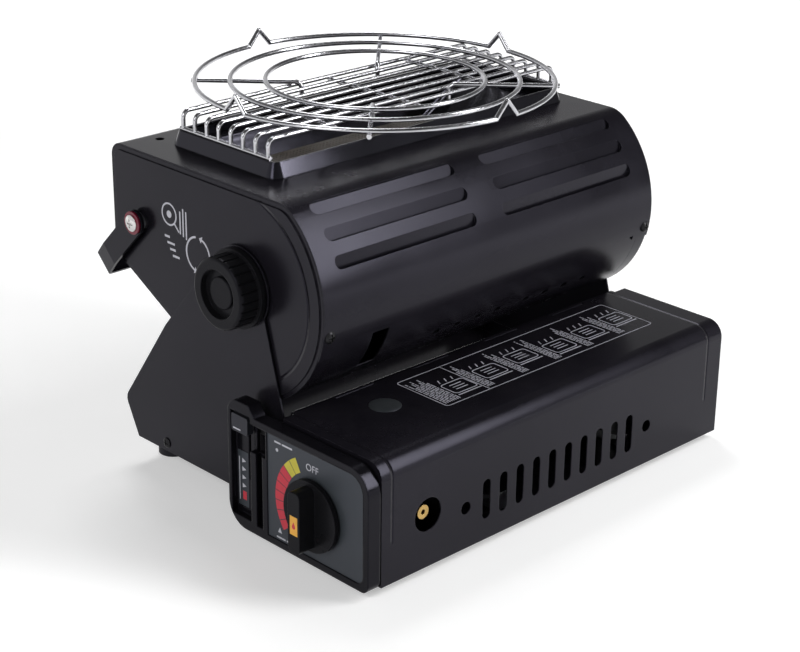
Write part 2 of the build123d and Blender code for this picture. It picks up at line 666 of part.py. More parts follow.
def bay_rear_wall():
    """Wall behind the cartridge, with its own hinge knuckles on top."""
    left = BAY_LEFT + STAND_SHEET + SEAM
    right = BAY_RIGHT - STAND_SHEET - SEAM
    low_top = HINGE_Z - KNUCKLE_CLEAR
    wall = block(left, right, WALL_FRONT, WALL_BACK, PAN_TOP + SEAM, low_top)
    for span_left, span_right in hinge_spans(1):
        wall += block(span_left, span_right, WALL_FRONT, WALL_BACK, low_top, HINGE_Z)
        wall += rod_x(span_left, span_right, HINGE_Y, HINGE_Z, KNUCKLE_RADIUS)
    wall -= rod_x(LID_LEFT, LID_RIGHT, HINGE_Y, HINGE_Z, KNUCKLE_BORE)
    wall -= rod_y(HOSE_X, WALL_FRONT - 1, WALL_BACK + 1, HOSE_Z, HOSE_RADIUS + HOSE_HOLE_MARGIN)
    wall -= rod_y(LEAD_HOLE_X, WALL_FRONT - 1, WALL_BACK + 1, LEAD_HOLE_Z, LEAD_RADIUS + HOSE_HOLE_MARGIN)
    return wall


def lid_hinge_pin():
    return rod_x(LID_LEFT + HINGE_INSET, LID_RIGHT - HINGE_INSET, HINGE_Y, HINGE_Z, HINGE_PIN_RADIUS)


def lid_profile(inset):
    """Lid seen from its end: front, round corner and top."""
    top = LID_TOP - inset
    face = rectangle(inset, HINGE_Y, LID_BOTTOM, top)
    return rounded(face, inset, top, LID_CORNER - inset)


def below(profile_inset):
    """All that lies inside the lid sheet, open at the back and below."""
    inner = lid_profile(profile_inset)
    inner += rectangle(profile_inset, HINGE_Y, LID_BOTTOM - 1, LID_BOTTOM + 1)
    return inner + rectangle(HINGE_Y - 1, HINGE_Y + 1, LID_BOTTOM - 1, LID_TOP - profile_inset)


def lid_slot_centres():
    first = LID_LEFT + LID_SLOT_START
    return [first + index * LID_SLOT_PITCH for index in range(LID_SLOT_COUNT)]


def cartridge_lid():
    """Top and front in one sheet, with end flanges and hinge knuckles."""
    sheet = along_x(lid_profile(0) - below(SHEET), LID_LEFT, LID_RIGHT)
    flange = along_x(lid_profile(0) - below(LID_FLANGE), LID_LEFT, LID_LEFT + SHEET)
    lid = joined([sheet, flange, mirrored(flange, LID_MID)])
    edge = HINGE_Y - KNUCKLE_CLEAR
    lid -= block(LID_LEFT - 1, LID_RIGHT + 1, edge, HINGE_Y + 1, LID_BOTTOM - 1, LID_TOP + 1)
    for span_left, span_right in hinge_spans(0):
        lid += block(span_left, span_right, edge, HINGE_Y, LID_TOP - SHEET, LID_TOP)
        lid += rod_x(span_left, span_right, HINGE_Y, HINGE_Z, KNUCKLE_RADIUS)
    lid -= rod_x(LID_LEFT - 1, LID_RIGHT + 1, HINGE_Y, HINGE_Z, KNUCKLE_BORE)
    centres = lid_slot_centres()
    for slot_x in centres:
        slot = Pos(slot_x, LID_SLOT_Z) * Rot(0, 0, 90) * SlotOverall(LID_SLOT_HEIGHT, LID_SLOT_WIDTH)
        lid -= along_y(slot, -1, SHEET + 1)
    for hole_x in (centres[0] - LID_END_HOLE_STEP, centres[-1] + LID_END_HOLE_STEP):
        lid -= rod_y(hole_x, -1, SHEET + 1, LID_SLOT_Z, LID_END_HOLE_RADIUS)
    lid -= rod_y(NIPPLE_X, -1, SHEET + 1, NIPPLE_Z, NIPPLE_HOLE_RADIUS)
    return lid


def cartridge_saddles():
    """Two low cradles that hold the cartridge in the middle of the bay."""
    front = CARTRIDGE_Y - SADDLE_HALF_WIDTH
    rear = CARTRIDGE_Y + SADDLE_HALF_WIDTH
    hollow_radius = (CARTRIDGE_DIAMETER + CARTRIDGE_PLAY) / 2
    saddles = []
    for left in (CARTRIDGE_LEFT + SADDLE_INSET, CARTRIDGE_RIGHT - SADDLE_INSET - SADDLE_THICKNESS):
        saddle = block(left, left + SADDLE_THICKNESS, front, rear, TRAY_TOP + SEAM, TRAY_TOP + SADDLE_HEIGHT)
        hollow = rod_x(left - 1, left + SADDLE_THICKNESS + 1, CARTRIDGE_Y, CARTRIDGE_Z + SHEET, hollow_radius)
        saddles.append(saddle - hollow)
    return saddles


def cartridge_guide():
    """Plate whose notched hole lines the cartridge neck up."""
    front = CARTRIDGE_Y - GUIDE_HALF_WIDTH
    rear = CARTRIDGE_Y + GUIDE_HALF_WIDTH
    plate = block(GUIDE_X, GUIDE_X + STAND_SHEET, front, rear, TRAY_TOP + SEAM, TRAY_TOP + GUIDE_HEIGHT)
    foot = block(GUIDE_X, GUIDE_X + BAY_FOOT_WIDTH, front, rear, TRAY_TOP + SEAM, TRAY_TOP + SEAM + SHEET)
    neck = rod_x(GUIDE_X - 1, GUIDE_X + STAND_SHEET + 1, CARTRIDGE_Y, CARTRIDGE_Z, GUIDE_HOLE_RADIUS)
    return plate + foot - neck


# ---- gas train in the bay ----
def regulator_body():
    """Cast block with the valve barrel and the hose outlet."""
    body = block(
        REGULATOR_LEFT, REGULATOR_RIGHT, REGULATOR_FRONT, REGULATOR_REAR, REGULATOR_BOTTOM, REGULATOR_TOP
    )
    body = fillet(body.edges().filter_by(Axis.Z), REGULATOR_CORNER)
    body += rod_x(VALVE_BARREL_LEFT, REGULATOR_LEFT + REGULATOR_CORNER, VALVE_Y, VALVE_Z, BARREL_RADIUS)
    outlet_end = REGULATOR_REAR + OUTLET_LENGTH
    body += rod_y(HOSE_X, REGULATOR_REAR - REGULATOR_CORNER, outlet_end, HOSE_Z, OUTLET_RADIUS)
    post_left = REGULATOR_LEFT + REGULATOR_CORNER
    post_right = REGULATOR_RIGHT - REGULATOR_CORNER
    body += block(
        post_left, post_right, REGULATOR_FRONT + REGULATOR_CORNER, REGULATOR_REAR - REGULATOR_CORNER,
        TRAY_TOP + SEAM, REGULATOR_BOTTOM,
    )
    bore_radius = SPINDLE_RADIUS + RUNNING_FIT
    return body - rod_x(VALVE_BARREL_LEFT - 1, SPINDLE_END + 1, VALVE_Y, VALVE_Z, bore_radius)


def regulator_middle_x():
    return (REGULATOR_LEFT + REGULATOR_RIGHT) / 2


def regulator_cap():
    """Round cap over the regulator's diaphragm."""
    middle_y = (REGULATOR_FRONT + REGULATOR_REAR) / 2
    cap_top = REGULATOR_TOP + REGULATOR_CAP_HEIGHT
    cap = rod_z(regulator_middle_x(), middle_y, REGULATOR_TOP, cap_top, REGULATOR_CAP_RADIUS)
    return fillet(cap.edges().group_by(Axis.Z)[-1], REGULATOR_CAP_HEIGHT / 3)


def cartridge_inlet():
    """Brass socket that the cartridge valve is pushed onto."""
    inlet_end = REGULATOR_RIGHT + INLET_LENGTH
    inlet = rod_x(REGULATOR_RIGHT, inlet_end, CARTRIDGE_Y, CARTRIDGE_Z, INLET_RADIUS)
    return inlet - rod_x(REGULATOR_RIGHT + 1, inlet_end + 1, CARTRIDGE_Y, CARTRIDGE_Z, INLET_BORE)


def test_nipple():
    """Brass nipple that shows through the round hole in the lid."""
    stem = rod_y(NIPPLE_X, NIPPLE_FRONT, REGULATOR_FRONT, NIPPLE_Z, NIPPLE_RADIUS)
    base_front = REGULATOR_FRONT - NIPPLE_BASE_LENGTH
    base = Pos(NIPPLE_X, NIPPLE_Z) * RegularPolygon(NIPPLE_BASE_RADIUS, 6)
    bore = rod_y(NIPPLE_X, NIPPLE_FRONT - 1, base_front, NIPPLE_Z, NIPPLE_BORE)
    return stem + along_y(base, base_front, REGULATOR_FRONT) - bore


def piezo_igniter():
    body = block(
        IGNITER_LEFT, IGNITER_LEFT + IGNITER_WIDTH, IGNITER_FRONT, IGNITER_FRONT + IGNITER_DEPTH,
        IGNITER_BOTTOM, IGNITER_TOP,
    )
    return fillet(body.edges().filter_by(Axis.Z), IGNITER_WIDTH / 6)


# ---- control bezel ----
def bezel_profile(inset):
    front = inset
    rear = BEZEL_LENGTH - inset
    bottom = BEZEL_BOTTOM + inset
    top = BEZEL_TOP - inset
    hump_top = BEZEL_HUMP_TOP - inset
    hump_start = BEZEL_HUMP_START + inset / 2
    face = outline(
        (front, bottom), (front, top), (hump_start, top), (hump_start + BEZEL_HUMP_RISE, hump_top),
        (rear, hump_top), (rear, bottom),
    )
    face = rounded(face, front, top, BEZEL_FRONT_CORNER - inset)
    face = rounded(face, front, bottom, BEZEL_FOOT_CORNER - inset / 2)
    face = rounded(face, rear, hump_top, BEZEL_REAR_CORNER - inset)
    return rounded(face, rear, bottom, BEZEL_FRONT_CORNER - inset)


def label_profile(inset):
    """The flat label area in the bezel's face."""
    front = BEZEL_BORDER + inset
    top = BEZEL_TOP - BEZEL_BORDER - inset
    bottom = BEZEL_BOTTOM + BEZEL_BORDER + inset
    face = rectangle(front, LABEL_REAR - inset, bottom, top)
    face = rounded(face, front, top, BEZEL_FRONT_CORNER - BEZEL_BORDER)
    return rounded(face, front, bottom, BEZEL_FOOT_CORNER - inset)


def bezel_bosses():
    """Posts that stand the bezel off the bay plate and the stand plate."""
    middle_y = GRIP_SLOT_FRONT - BOSS_MIDDLE_STEP
    posts = ((BOSS_FRONT_Y, BOSS_LOW_Z), (BOSS_FRONT_Y, BOSS_HIGH_Z), (middle_y, BOSS_MIDDLE_Z))
    bosses = [rod_x(BEZEL_FACE, BAY_LEFT - SEAM, y, z, BOSS_RADIUS) for y, z in posts]
    rear_y = TROUGH_REAR - BOSS_RADIUS
    bosses.append(rod_x(TROUGH_SKIN, STAND_LEFT - SEAM, rear_y, TROUGH_BOTTOM + 2 * BOSS_RADIUS, BOSS_RADIUS))
    return bosses


def control_bezel():
    """Moulded end cover with label recess, finger slot and lever trough."""
    bezel = along_x(bezel_profile(0), 0, BEZEL_THICKNESS)
    bezel -= along_x(bezel_profile(BEZEL_WALL), BEZEL_FACE, BEZEL_THICKNESS + 1)
    bezel += block(
        BEZEL_FACE, TROUGH_SKIN, TROUGH_FRONT - TROUGH_LINING, TROUGH_REAR + TROUGH_LINING,
        TROUGH_BOTTOM - TROUGH_LINING, TROUGH_TOP + TROUGH_LINING,
    )
    bezel -= block(-1, TROUGH_DEPTH, TROUGH_FRONT, TROUGH_REAR, TROUGH_BOTTOM, TROUGH_TOP)
    bezel -= along_x(label_profile(0), -1, LABEL_BACK)
    slot_rear = GRIP_SLOT_FRONT + GRIP_SLOT_WIDTH
    bezel -= block(-1, BEZEL_FACE + 1, GRIP_SLOT_FRONT, slot_rear, GRIP_SLOT_BOTTOM, GRIP_SLOT_TOP)
    bezel -= block(-1, BEZEL_FACE + 1, GRIP_NOTCH_FRONT, TROUGH_FRONT + 1, GRIP_SLOT_TOP, GRIP_NOTCH_TOP)
    bezel -= strip_block(0)
    bezel -= lever_path(MOVING_GAP)
    bezel -= rod_x(-1, BEZEL_FACE + 1, VALVE_Y, VALVE_Z, SPINDLE_RADIUS + MOVING_GAP)
    return joined([bezel] + bezel_bosses())


def lever_stem_y():
    return LEVER_CAP_FRONT + LEVER_STEM_WIDTH / 2


def lever_path(margin):
    """The slit in the trough floor that the lever stem slides in."""
    front = lever_stem_y() - LEVER_STEM_WIDTH / 2 - margin
    rear = lever_stem_y() + LEVER_STEM_WIDTH / 2 + margin
    low = LEVER_STEM_BOTTOM - LEVER_TRAVEL - margin
    return block(TROUGH_DEPTH - 1, TROUGH_SKIN + 1, front, rear, low, LEVER_STEM_TOP + margin)


def control_label_plate():
    """Dark panel with the flow scale."""
    plate = along_x(label_profile(SEAM), LABEL_FACE, LABEL_BACK)
    return plate - rod_x(-1, LABEL_BACK + 1, VALVE_Y, VALVE_Z, SPINDLE_RADIUS + MOVING_GAP)


def strip_block(inset):
    """The label strip, flush with the trough floor beside the lever slit."""
    front = lever_stem_y() + LEVER_STEM_WIDTH / 2 + MOVING_GAP + STRIP_MARGIN + inset
    rear = TROUGH_REAR - STRIP_MARGIN - inset
    back = TROUGH_DEPTH + STRIP_THICKNESS
    return block(TROUGH_DEPTH, back, front, rear, STRIP_BOTTOM + inset, STRIP_TOP - inset)


def lever_label_strip():
    """Thin plate in the floor of the lever trough."""
    return strip_block(SEAM)


# ---- lock lever ----
def lock_lever():
    """Stem, plate and pin behind the cap."""
    front = lever_stem_y() - LEVER_STEM_WIDTH / 2
    rear = lever_stem_y() + LEVER_STEM_WIDTH / 2
    stem_left = TROUGH_DEPTH - MOVING_GAP
    stem = block(stem_left, LEVER_PLATE_RIGHT, front, rear, LEVER_STEM_BOTTOM, LEVER_STEM_TOP)
    plate = block(
        LEVER_PLATE_LEFT, LEVER_PLATE_RIGHT, LEVER_PLATE_FRONT, rear,
        LEVER_BOTTOM + LEVER_STEP / 2, LEVER_TOP - LEVER_STEP / 2,
    )
    pin = rod_x(LEVER_PLATE_LEFT, LEVER_PIN_REACH, LEVER_PIN_Y, LEVER_PIN_Z, LEVER_PIN_RADIUS)
    return joined([stem, plate, pin])


def lever_cap():
    cap = block(
        -LEVER_CAP_PROUD, TROUGH_DEPTH - MOVING_GAP, LEVER_CAP_FRONT, LEVER_CAP_FRONT + LEVER_CAP_WIDTH,
        LEVER_BOTTOM, LEVER_TOP,
    )
    return fillet(cap.edges().filter_by(Axis.X), LEVER_CAP_CORNER)


# ---- flow knob ----
def flow_knob():
    """Disc with a tall grip bar across it."""
    disc = rod_x(KNOB_FRONT, KNOB_BACK, VALVE_Y, VALVE_Z, KNOB_DISC_RADIUS)
    grip_face = Pos(VALVE_Y, VALVE_Z) * RectangleRounded(KNOB_GRIP_WIDTH, KNOB_GRIP_LENGTH, KNOB_GRIP_CORNER)
    grip = along_x(grip_face, -KNOB_PROUD, KNOB_BACK)
    knob = disc + grip
    tag_low, tag_high = tag_span()
    half = TAG_WIDTH / 2
    tag_back = -KNOB_PROUD + TAG_THICKNESS
    return knob - block(-KNOB_PROUD - 1, tag_back, VALVE_Y - half, VALVE_Y + half, tag_low, tag_high)


def tag_span():
    middle = VALVE_Z - TAG_OFFSET
    return middle - TAG_LENGTH / 2, middle + TAG_LENGTH / 2


def knob_tag():
    """Coloured mark set in the grip's outer face."""
    tag_low, tag_high = tag_span()
    half = TAG_WIDTH / 2 - SEAM
    back = -KNOB_PROUD + TAG_THICKNESS
    return block(-KNOB_PROUD, back, VALVE_Y - half, VALVE_Y + half, tag_low + SEAM, tag_high - SEAM)


def valve_spindle():
    return rod_x(KNOB_BACK, SPINDLE_END, VALVE_Y, VALVE_Z, SPINDLE_RADIUS)


# ---- stand ----
def stand_profile():
    """Side plate: front edge, round head about the pivot, slanted back."""
    lean = math.dist((STAND_BACK_Y, STAND_BACK_Z), (TILT_Y, TILT_Z))
    toward = math.atan2(TILT_Z - STAND_BACK_Z, TILT_Y - STAND_BACK_Y)
    slope = toward - math.asin(STAND_HEAD_RADIUS / lean)
    run = math.sqrt(lean ** 2 - STAND_HEAD_RADIUS ** 2)
    touch = (STAND_BACK_Y + run * math.cos(slope), STAND_BACK_Z + run * math.sin(slope))
    plate = outline(
        (STAND_FRONT, PAN_HEIGHT), (STAND_FRONT, STAND_SHOULDER_Z), (STAND_NECK_Y, STAND_NECK_Z),
        (TILT_Y, TILT_Z), touch, (STAND_BACK_Y, STAND_BACK_Z), (HEEL_Y, STAND_HEEL_Z), (TOE_Y, PAN_HEIGHT),
    )
    plate = rounded(plate, HEEL_Y, STAND_HEEL_Z, STAND_HEEL_CORNER)
    return plate + Pos(TILT_Y, TILT_Z) * Circle(STAND_HEAD_RADIUS)


def left_stand_plate():
    plate = along_x(stand_profile(), STAND_LEFT, STAND_INNER)
    plate += block(
        STAND_LEFT, STAND_INNER + STAND_FLANGE, STAND_FRONT, STAND_FRONT + STAND_SHEET,
        PAN_TOP + SEAM, STAND_SHOULDER_Z,
    )
    plate -= rod_x(STAND_LEFT - 1, STAND_INNER + 1, TILT_Y, TILT_Z, PIVOT_RADIUS + RUNNING_FIT)
    for place in stand_screw_places():
        plate -= screw_hole_at(place)
    return plate


def right_stand_plate():
    return mirrored(left_stand_plate(), STAND_MID)


def pivot_washers():
    """Friction washers between the stand plates and the head."""
    left = STAND_INNER + SEAM
    bore = rod_x(left - 1, HEAD_LEFT, TILT_Y, TILT_Z, PIVOT_RADIUS + RUNNING_FIT)
    washer = rod_x(left, left + WASHER_THICKNESS, TILT_Y, TILT_Z, WASHER_RADIUS) - bore
    return [washer, mirrored(washer, STAND_MID)]


def base_screws():
    return [screw_at(place) for place in stand_screw_places()]


# ---- tilt pivot ----
def pivot_stud():
    """Stud and nut on the head; the tilt knob runs on its outer end."""
    plate_inner = HEAD_LEFT + SHEET
    stud = rod_x(TILT_KNOB_FACE + TILT_KNOB_DISH_DEPTH + 2, plate_inner, TILT_Y, TILT_Z, PIVOT_RADIUS)
    nut_profile = Pos(TILT_Y, TILT_Z) * RegularPolygon(PIVOT_NUT_RADIUS, 6)
    return stud + along_x(nut_profile, plate_inner, plate_inner + PIVOT_NUT_LENGTH)


def right_pivot_bolt():
    """Low-headed shoulder bolt on the right side."""
    outer = STAND_RIGHT + STAND_SHEET + MOVING_GAP
    head = rod_x(outer, outer + BOLT_HEAD_HEIGHT, TILT_Y, TILT_Z, BOLT_HEAD_RADIUS)
    head = fillet(head.edges().group_by(Axis.X)[-1], BOLT_HEAD_HEIGHT / 3)
    plate_inner = HEAD_RIGHT - SHEET
    shank = rod_x(plate_inner, outer, TILT_Y, TILT_Z, PIVOT_RADIUS)
    nut_profile = Pos(TILT_Y, TILT_Z) * RegularPolygon(PIVOT_NUT_RADIUS, 6)
    return joined([head, shank, along_x(nut_profile, plate_inner - PIVOT_NUT_LENGTH, plate_inner)])


def tilt_knob():
    """Big round knob with a dished face and a scalloped edge."""
    back = STAND_LEFT - 2 * MOVING_GAP
    disc = rod_x(back - TILT_KNOB_DISC, back, TILT_Y, TILT_Z, TILT_KNOB_DISC_RADIUS)
    grip = rod_x(TILT_KNOB_FACE, back, TILT_Y, TILT_Z, TILT_KNOB_RADIUS)
    grip = fillet(grip.edges().group_by(Axis.X)[0], 2.0)
    for index in range(TILT_KNOB_LOBES):
        angle = 2 * math.pi * index / TILT_KNOB_LOBES
        groove_y = TILT_Y + TILT_KNOB_RADIUS * math.cos(angle)
        groove_z = TILT_Z + TILT_KNOB_RADIUS * math.sin(angle)
        grip -= rod_x(TILT_KNOB_FACE - 1, back - TILT_KNOB_DISC, groove_y, groove_z, TILT_KNOB_GROOVE)
    knob = grip + disc
    dish_floor = TILT_KNOB_FACE + TILT_KNOB_DISH_DEPTH
    knob -= rod_x(TILT_KNOB_FACE - 1, dish_floor, TILT_Y, TILT_Z, TILT_KNOB_DISH_RADIUS)
    return knob - rod_x(dish_floor + 1, back + 1, TILT_Y, TILT_Z, PIVOT_RADIUS + RUNNING_FIT)


def tilt_knob_insert():
    """Domed disc in the knob's dish."""
    floor = TILT_KNOB_FACE + TILT_KNOB_DISH_DEPTH
    insert = rod_x(floor - TILT_KNOB_INSERT_HEIGHT, floor, TILT_Y, TILT_Z, TILT_KNOB_INSERT_RADIUS)
    return fillet(insert.edges().group_by(Axis.X)[0], TILT_KNOB_INSERT_HEIGHT / 2)


# ---- heater head ----
def head_outline(inset):
    """The head seen from its end; inset moves every edge inward."""
    radius = HEAD_RADIUS - inset
    top = HEAD_TOP - inset
    rear = HEAD_REAR - inset
    touch_y = TILT_Y + radius * math.cos(UNDERSIDE)
    touch_z = TILT_Z - radius * math.sin(UNDERSIDE)
    rear_low = touch_z + (rear - touch_y) / math.tan(UNDERSIDE)
    back = outline((TILT_Y, TILT_Z), (touch_y, touch_z), (rear, rear_low), (rear, top), (TILT_Y, top))
    face = back + Pos(TILT_Y, TILT_Z) * Circle(radius)
    face -= rectangle(TILT_Y - FAR, TILT_Y + FAR, top, top + FAR)
    front_y = TILT_Y - math.sqrt(radius ** 2 - (top - TILT_Z) ** 2)
    face = rounded(face, front_y, top, HEAD_FRONT_CORNER - inset)
    face = rounded(face, rear, top, HEAD_BACK_CORNER - inset)
    return rounded(face, rear, rear_low, HEAD_LOW_CORNER - inset)


def low_corner_z():
    """Height of the head's lower back corner."""
    touch_y = TILT_Y + HEAD_RADIUS * math.cos(UNDERSIDE)
    touch_z = TILT_Z - HEAD_RADIUS * math.sin(UNDERSIDE)
    return touch_z + (HEAD_REAR - touch_y) / math.tan(UNDERSIDE)


def lower_region(degrees, back_z):
    """All that lies below an edge at the front and an edge at the back."""
    angle = math.radians(degrees)
    return outline(
        (TILT_Y, TILT_Z), (TILT_Y - FAR * math.cos(angle), TILT_Z + FAR * math.sin(angle)),
        (TILT_Y - FAR, TILT_Z - FAR), (HEAD_REAR + FAR, TILT_Z - FAR), (HEAD_REAR + FAR, back_z),
        (HEAD_REAR - HEAD_LOW_CORNER, back_z),
    )


def shell_screw_places():
    """Screws of the outer shell: two front tabs and four on the back."""
    tab = END_FLANGE / 2
    front = -SHELL_EDGE + SHELL_SCREW_STEP
    places = [drum_place(screw_x, front, HEAD_RADIUS) for screw_x in (SHELL_LEFT + tab, SHELL_RIGHT - tab)]
    for screw_x in (SHELL_LEFT + tab, SHELL_RIGHT - tab):
        for screw_z in (low_corner_z() + 2 * SHELL_BACK_EDGE, HEAD_TOP - 2 * HEAD_BACK_CORNER):
            places.append(Plane(origin=(screw_x, HEAD_REAR, screw_z), z_dir=(0, 1, 0)).location)
    return places


def head_screws():
    return [screw_at(place) for place in shell_screw_places()]


def left_end_plate():
    """Pressed end with a stepped rim and a flange that the shell wraps."""
    inner_edge = RIM_WIDTH + SHEET
    rim_left = HEAD_LEFT + RIM_STEP
    plate = along_x(head_outline(RIM_WIDTH), HEAD_LEFT, HEAD_LEFT + SHEET)
    step = along_x(head_outline(RIM_WIDTH) - head_outline(inner_edge), HEAD_LEFT, rim_left + SHEET)
    rim = along_x(head_outline(LOWER_INSET) - head_outline(inner_edge), rim_left, rim_left + SHEET)
    flange_ring = head_outline(LOWER_INSET) - head_outline(LOWER_INSET + SHEET)
    flange = along_x(flange_ring, rim_left, rim_left + END_FLANGE)
    plate = joined([plate, step, rim, flange])
    plate -= rod_x(HEAD_LEFT - 1, HEAD_LEFT + SHEET + 1, TILT_Y, TILT_Z, PIVOT_RADIUS)
    plate -= rod_x(HEAD_LEFT - 1, HEAD_LEFT + SHEET + 1, HANDLE_PIVOT_Y, HANDLE_PIVOT_Z, HANDLE_SCREW_RADIUS)
    for place in shell_screw_places():
        plate -= screw_hole_at(place)
    return plate


def right_end_plate():
    return mirrored(left_end_plate(), STAND_MID)


def louvre_spans():
    left = SHELL_LEFT + LOUVRE_INSET
    right = SHELL_RIGHT - LOUVRE_RIGHT_INSET
    return ((left, left + LOUVRE_LENGTH), (right - LOUVRE_RIGHT_LENGTH, right))


def louvre_prism(length, margin, top):
    """Upright prism with round ends over a louvre's outline, lying on its back."""
    outline_face = SlotOverall(length + 2 * margin, LOUVRE_WIDTH + 2 * margin)
    return along_z(outline_face, -2 * LOUVRE_DEPTH, top)


def above_louvre_floor(length, drop):
    """All that lies above the sloping floor, lowered by drop."""
    low = -1.5 * LOUVRE_DEPTH - drop
    high = 0.5 * LOUVRE_DEPTH - drop
    sky = 3 * LOUVRE_DEPTH
    side = outline((-LOUVRE_WIDTH, low), (LOUVRE_WIDTH, high), (LOUVRE_WIDTH, sky), (-LOUVRE_WIDTH, sky))
    return along_x(side, -length, length)


def louvre_hollow(length):
    return louvre_prism(length, 0, LOUVRE_DEPTH) & above_louvre_floor(length, 0)


def louvre_pan(length):
    """Sunken louvre: flush along its upper edge, open along its lower edge."""
    pan = louvre_prism(length, SHEET, -SHEET / 2) & above_louvre_floor(length, SHEET)
    run = (length - LOUVRE_WIDTH) / 2
    lower_wall = block(-run, run, -LOUVRE_WIDTH, -LOUVRE_WIDTH / 2, -2 * LOUVRE_DEPTH, -1.5 * SHEET)
    return pan - louvre_hollow(length) - (lower_wall & above_louvre_floor(length, 0))


def outer_shell():
    """Front, flat top and back in one sheet, with louvres."""
    shell = along_x(head_outline(0) - head_outline(SHEET), SHELL_LEFT, SHELL_RIGHT)
    back_z = low_corner_z() + SHELL_BACK_EDGE
    window_left = SHELL_LEFT + SHELL_LEFT_TAB_WIDTH
    window_right = SHELL_RIGHT - SHELL_RIGHT_TAB_WIDTH
    shell -= along_x(lower_region(-SHELL_EDGE, back_z), window_left, window_right)
    shell -= along_x(lower_region(-SHELL_LEFT_TAB, back_z), SHELL_LEFT - 1, window_left + 1)
    shell -= along_x(lower_region(-SHELL_RIGHT_TAB, back_z), window_right - 1, SHELL_RIGHT + 1)
    mouth = centred_box_profile(MOUTH_LENGTH, MOUTH_DEPTH, RIM_CORNER)
    shell -= along_z(mouth, HEAD_TOP - HEAD_BACK_CORNER, HEAD_TOP + 1)
    for degrees in LOUVRE_ANGLES:
        for left, right in louvre_spans():
            place = drum_place((left + right) / 2, degrees, HEAD_RADIUS)
            shell -= place * louvre_hollow(right - left)
            shell += place * louvre_pan(right - left)
    hole_x = HEAD_LEFT + TOP_HOLE_X
    shell -= rod_z(hole_x, HEAD_REAR - TOP_HOLE_BACK, HEAD_TOP - 2 * SHEET, HEAD_TOP + 1, TOP_HOLE_RADIUS)
    for place in shell_screw_places():
        shell -= screw_hole_at(place)
    return shell


def hose_slot():
    """Slot under the head that lets the hose stay still while the head tilts."""
    left = HOSE_PLANE_X - 2 * HOSE_RADIUS - LEAD_RADIUS
    right = HOSE_PLANE_X + HOSE_RADIUS + HOSE_SLOT_MARGIN
    reach = math.dist((HEAD_REAR, low_corner_z()), (TILT_Y, TILT_Z))
    entry = math.degrees(math.atan2(HOSE_ENTRY_Z - TILT_Z, TILT_Y - HOSE_ENTRY_Y))
    margin = math.degrees(math.atan((HOSE_RADIUS + HOSE_SLOT_PLAY) / HEAD_RADIUS))
    arc = sector(entry - margin, entry + TILT_RANGE + margin, HEAD_RADIUS - 3 * SHEET, reach)
    return along_x(arc, left, right)


def lower_shell():
    """Underside of the drum with vent holes, a window and the hose slot."""
    ring = head_outline(LOWER_INSET) - head_outline(LOWER_INSET + SHEET)
    back_z = low_corner_z() + SHELL_BACK_EDGE + SHELL_BACK_OVERLAP
    region = lower_region(-SHELL_EDGE + SHELL_OVERLAP, back_z)
    shell = along_x(ring & region, LOWER_LEFT, LOWER_RIGHT)
    for degrees in VENT_ANGLES:
        for start in VENT_GROUP_STARTS:
            for index in range(VENTS_PER_GROUP):
                vent_x = HEAD_LEFT + start + index * VENT_PITCH
                shell -= drum_place(vent_x, degrees, HEAD_RADIUS) * Cylinder(VENT_RADIUS, 8 * SHEET)
    window = sector(WINDOW_BOTTOM, WINDOW_TOP, HEAD_RADIUS - 4 * SHEET, HEAD_RADIUS + 1)
    window_left = HEAD_LEFT + WINDOW_START
    shell -= along_x(window, window_left, window_left + WINDOW_WIDTH)
    return shell - hose_slot()


# ---- burner ----
def centred_box_profile(length, width, corner):
    return Pos(BURNER_X, BURNER_Y) * RectangleRounded(length, width, corner)


def burner_frame():
    """Flared collar round the opening in the flat top."""
    low_outer = Pos(0, 0, HEAD_TOP) * centred_box_profile(FRAME_LENGTH, FRAME_DEPTH, COLLAR_CORNER)
    rim_outer = Pos(0, 0, BODY_HEIGHT) * centred_box_profile(RIM_LENGTH, RIM_DEPTH, RIM_CORNER)
    wall = 2 * COLLAR_WALL
    low_inner = Pos(0, 0, HEAD_TOP) * centred_box_profile(
        FRAME_LENGTH - wall, FRAME_DEPTH - wall, COLLAR_CORNER - COLLAR_WALL
    )
    rim_inner = Pos(0, 0, BODY_HEIGHT) * centred_box_profile(
        RIM_LENGTH - wall, RIM_DEPTH - wall, RIM_CORNER - COLLAR_WALL
    )
    return loft([low_outer, rim_outer]) - loft([low_inner, rim_inner])


def reflector():
    """Bright sloping tray from the mouth down to the burner box."""
    top = HEAD_TOP - SHEET - SEAM
    bottom = BOX_TOP - REFLECTOR_GRIP
    mouth_length = MOUTH_LENGTH - REFLECTOR_SHEET
    mouth_depth = MOUTH_DEPTH - REFLECTOR_SHEET
    seat_length = BOX_LENGTH + 2 * BURNER_PLAY
    seat_width = BOX_WIDTH + 2 * BURNER_PLAY
    wall = 2 * REFLECTOR_SHEET
    corner = RIM_CORNER
    outside = loft([
        Pos(0, 0, bottom) * centred_box_profile(seat_length + wall, seat_width + wall, corner),
        Pos(0, 0, top) * centred_box_profile(mouth_length + wall, mouth_depth + wall, corner),
    ])
    inside = loft([
        Pos(0, 0, bottom) * centred_box_profile(seat_length, seat_width, corner - REFLECTOR_SHEET),
        Pos(0, 0, top) * centred_box_profile(mouth_length, mouth_depth, corner - REFLECTOR_SHEET),
    ])
    lip_face = centred_box_profile(mouth_length + 2 * REFLECTOR_LIP, mouth_depth + 2 * REFLECTOR_LIP, corner)
    lip = along_z(lip_face - centred_box_profile(mouth_length, mouth_depth, corner - REFLECTOR_SHEET),
                  top - REFLECTOR_SHEET, top)
    electrode = rod_z(electrode_x(), BURNER_Y, BOX_BOTTOM, HEAD_TOP + 1, ELECTRODE_RADIUS + SEAM)
    return outside + lip - inside - electrode


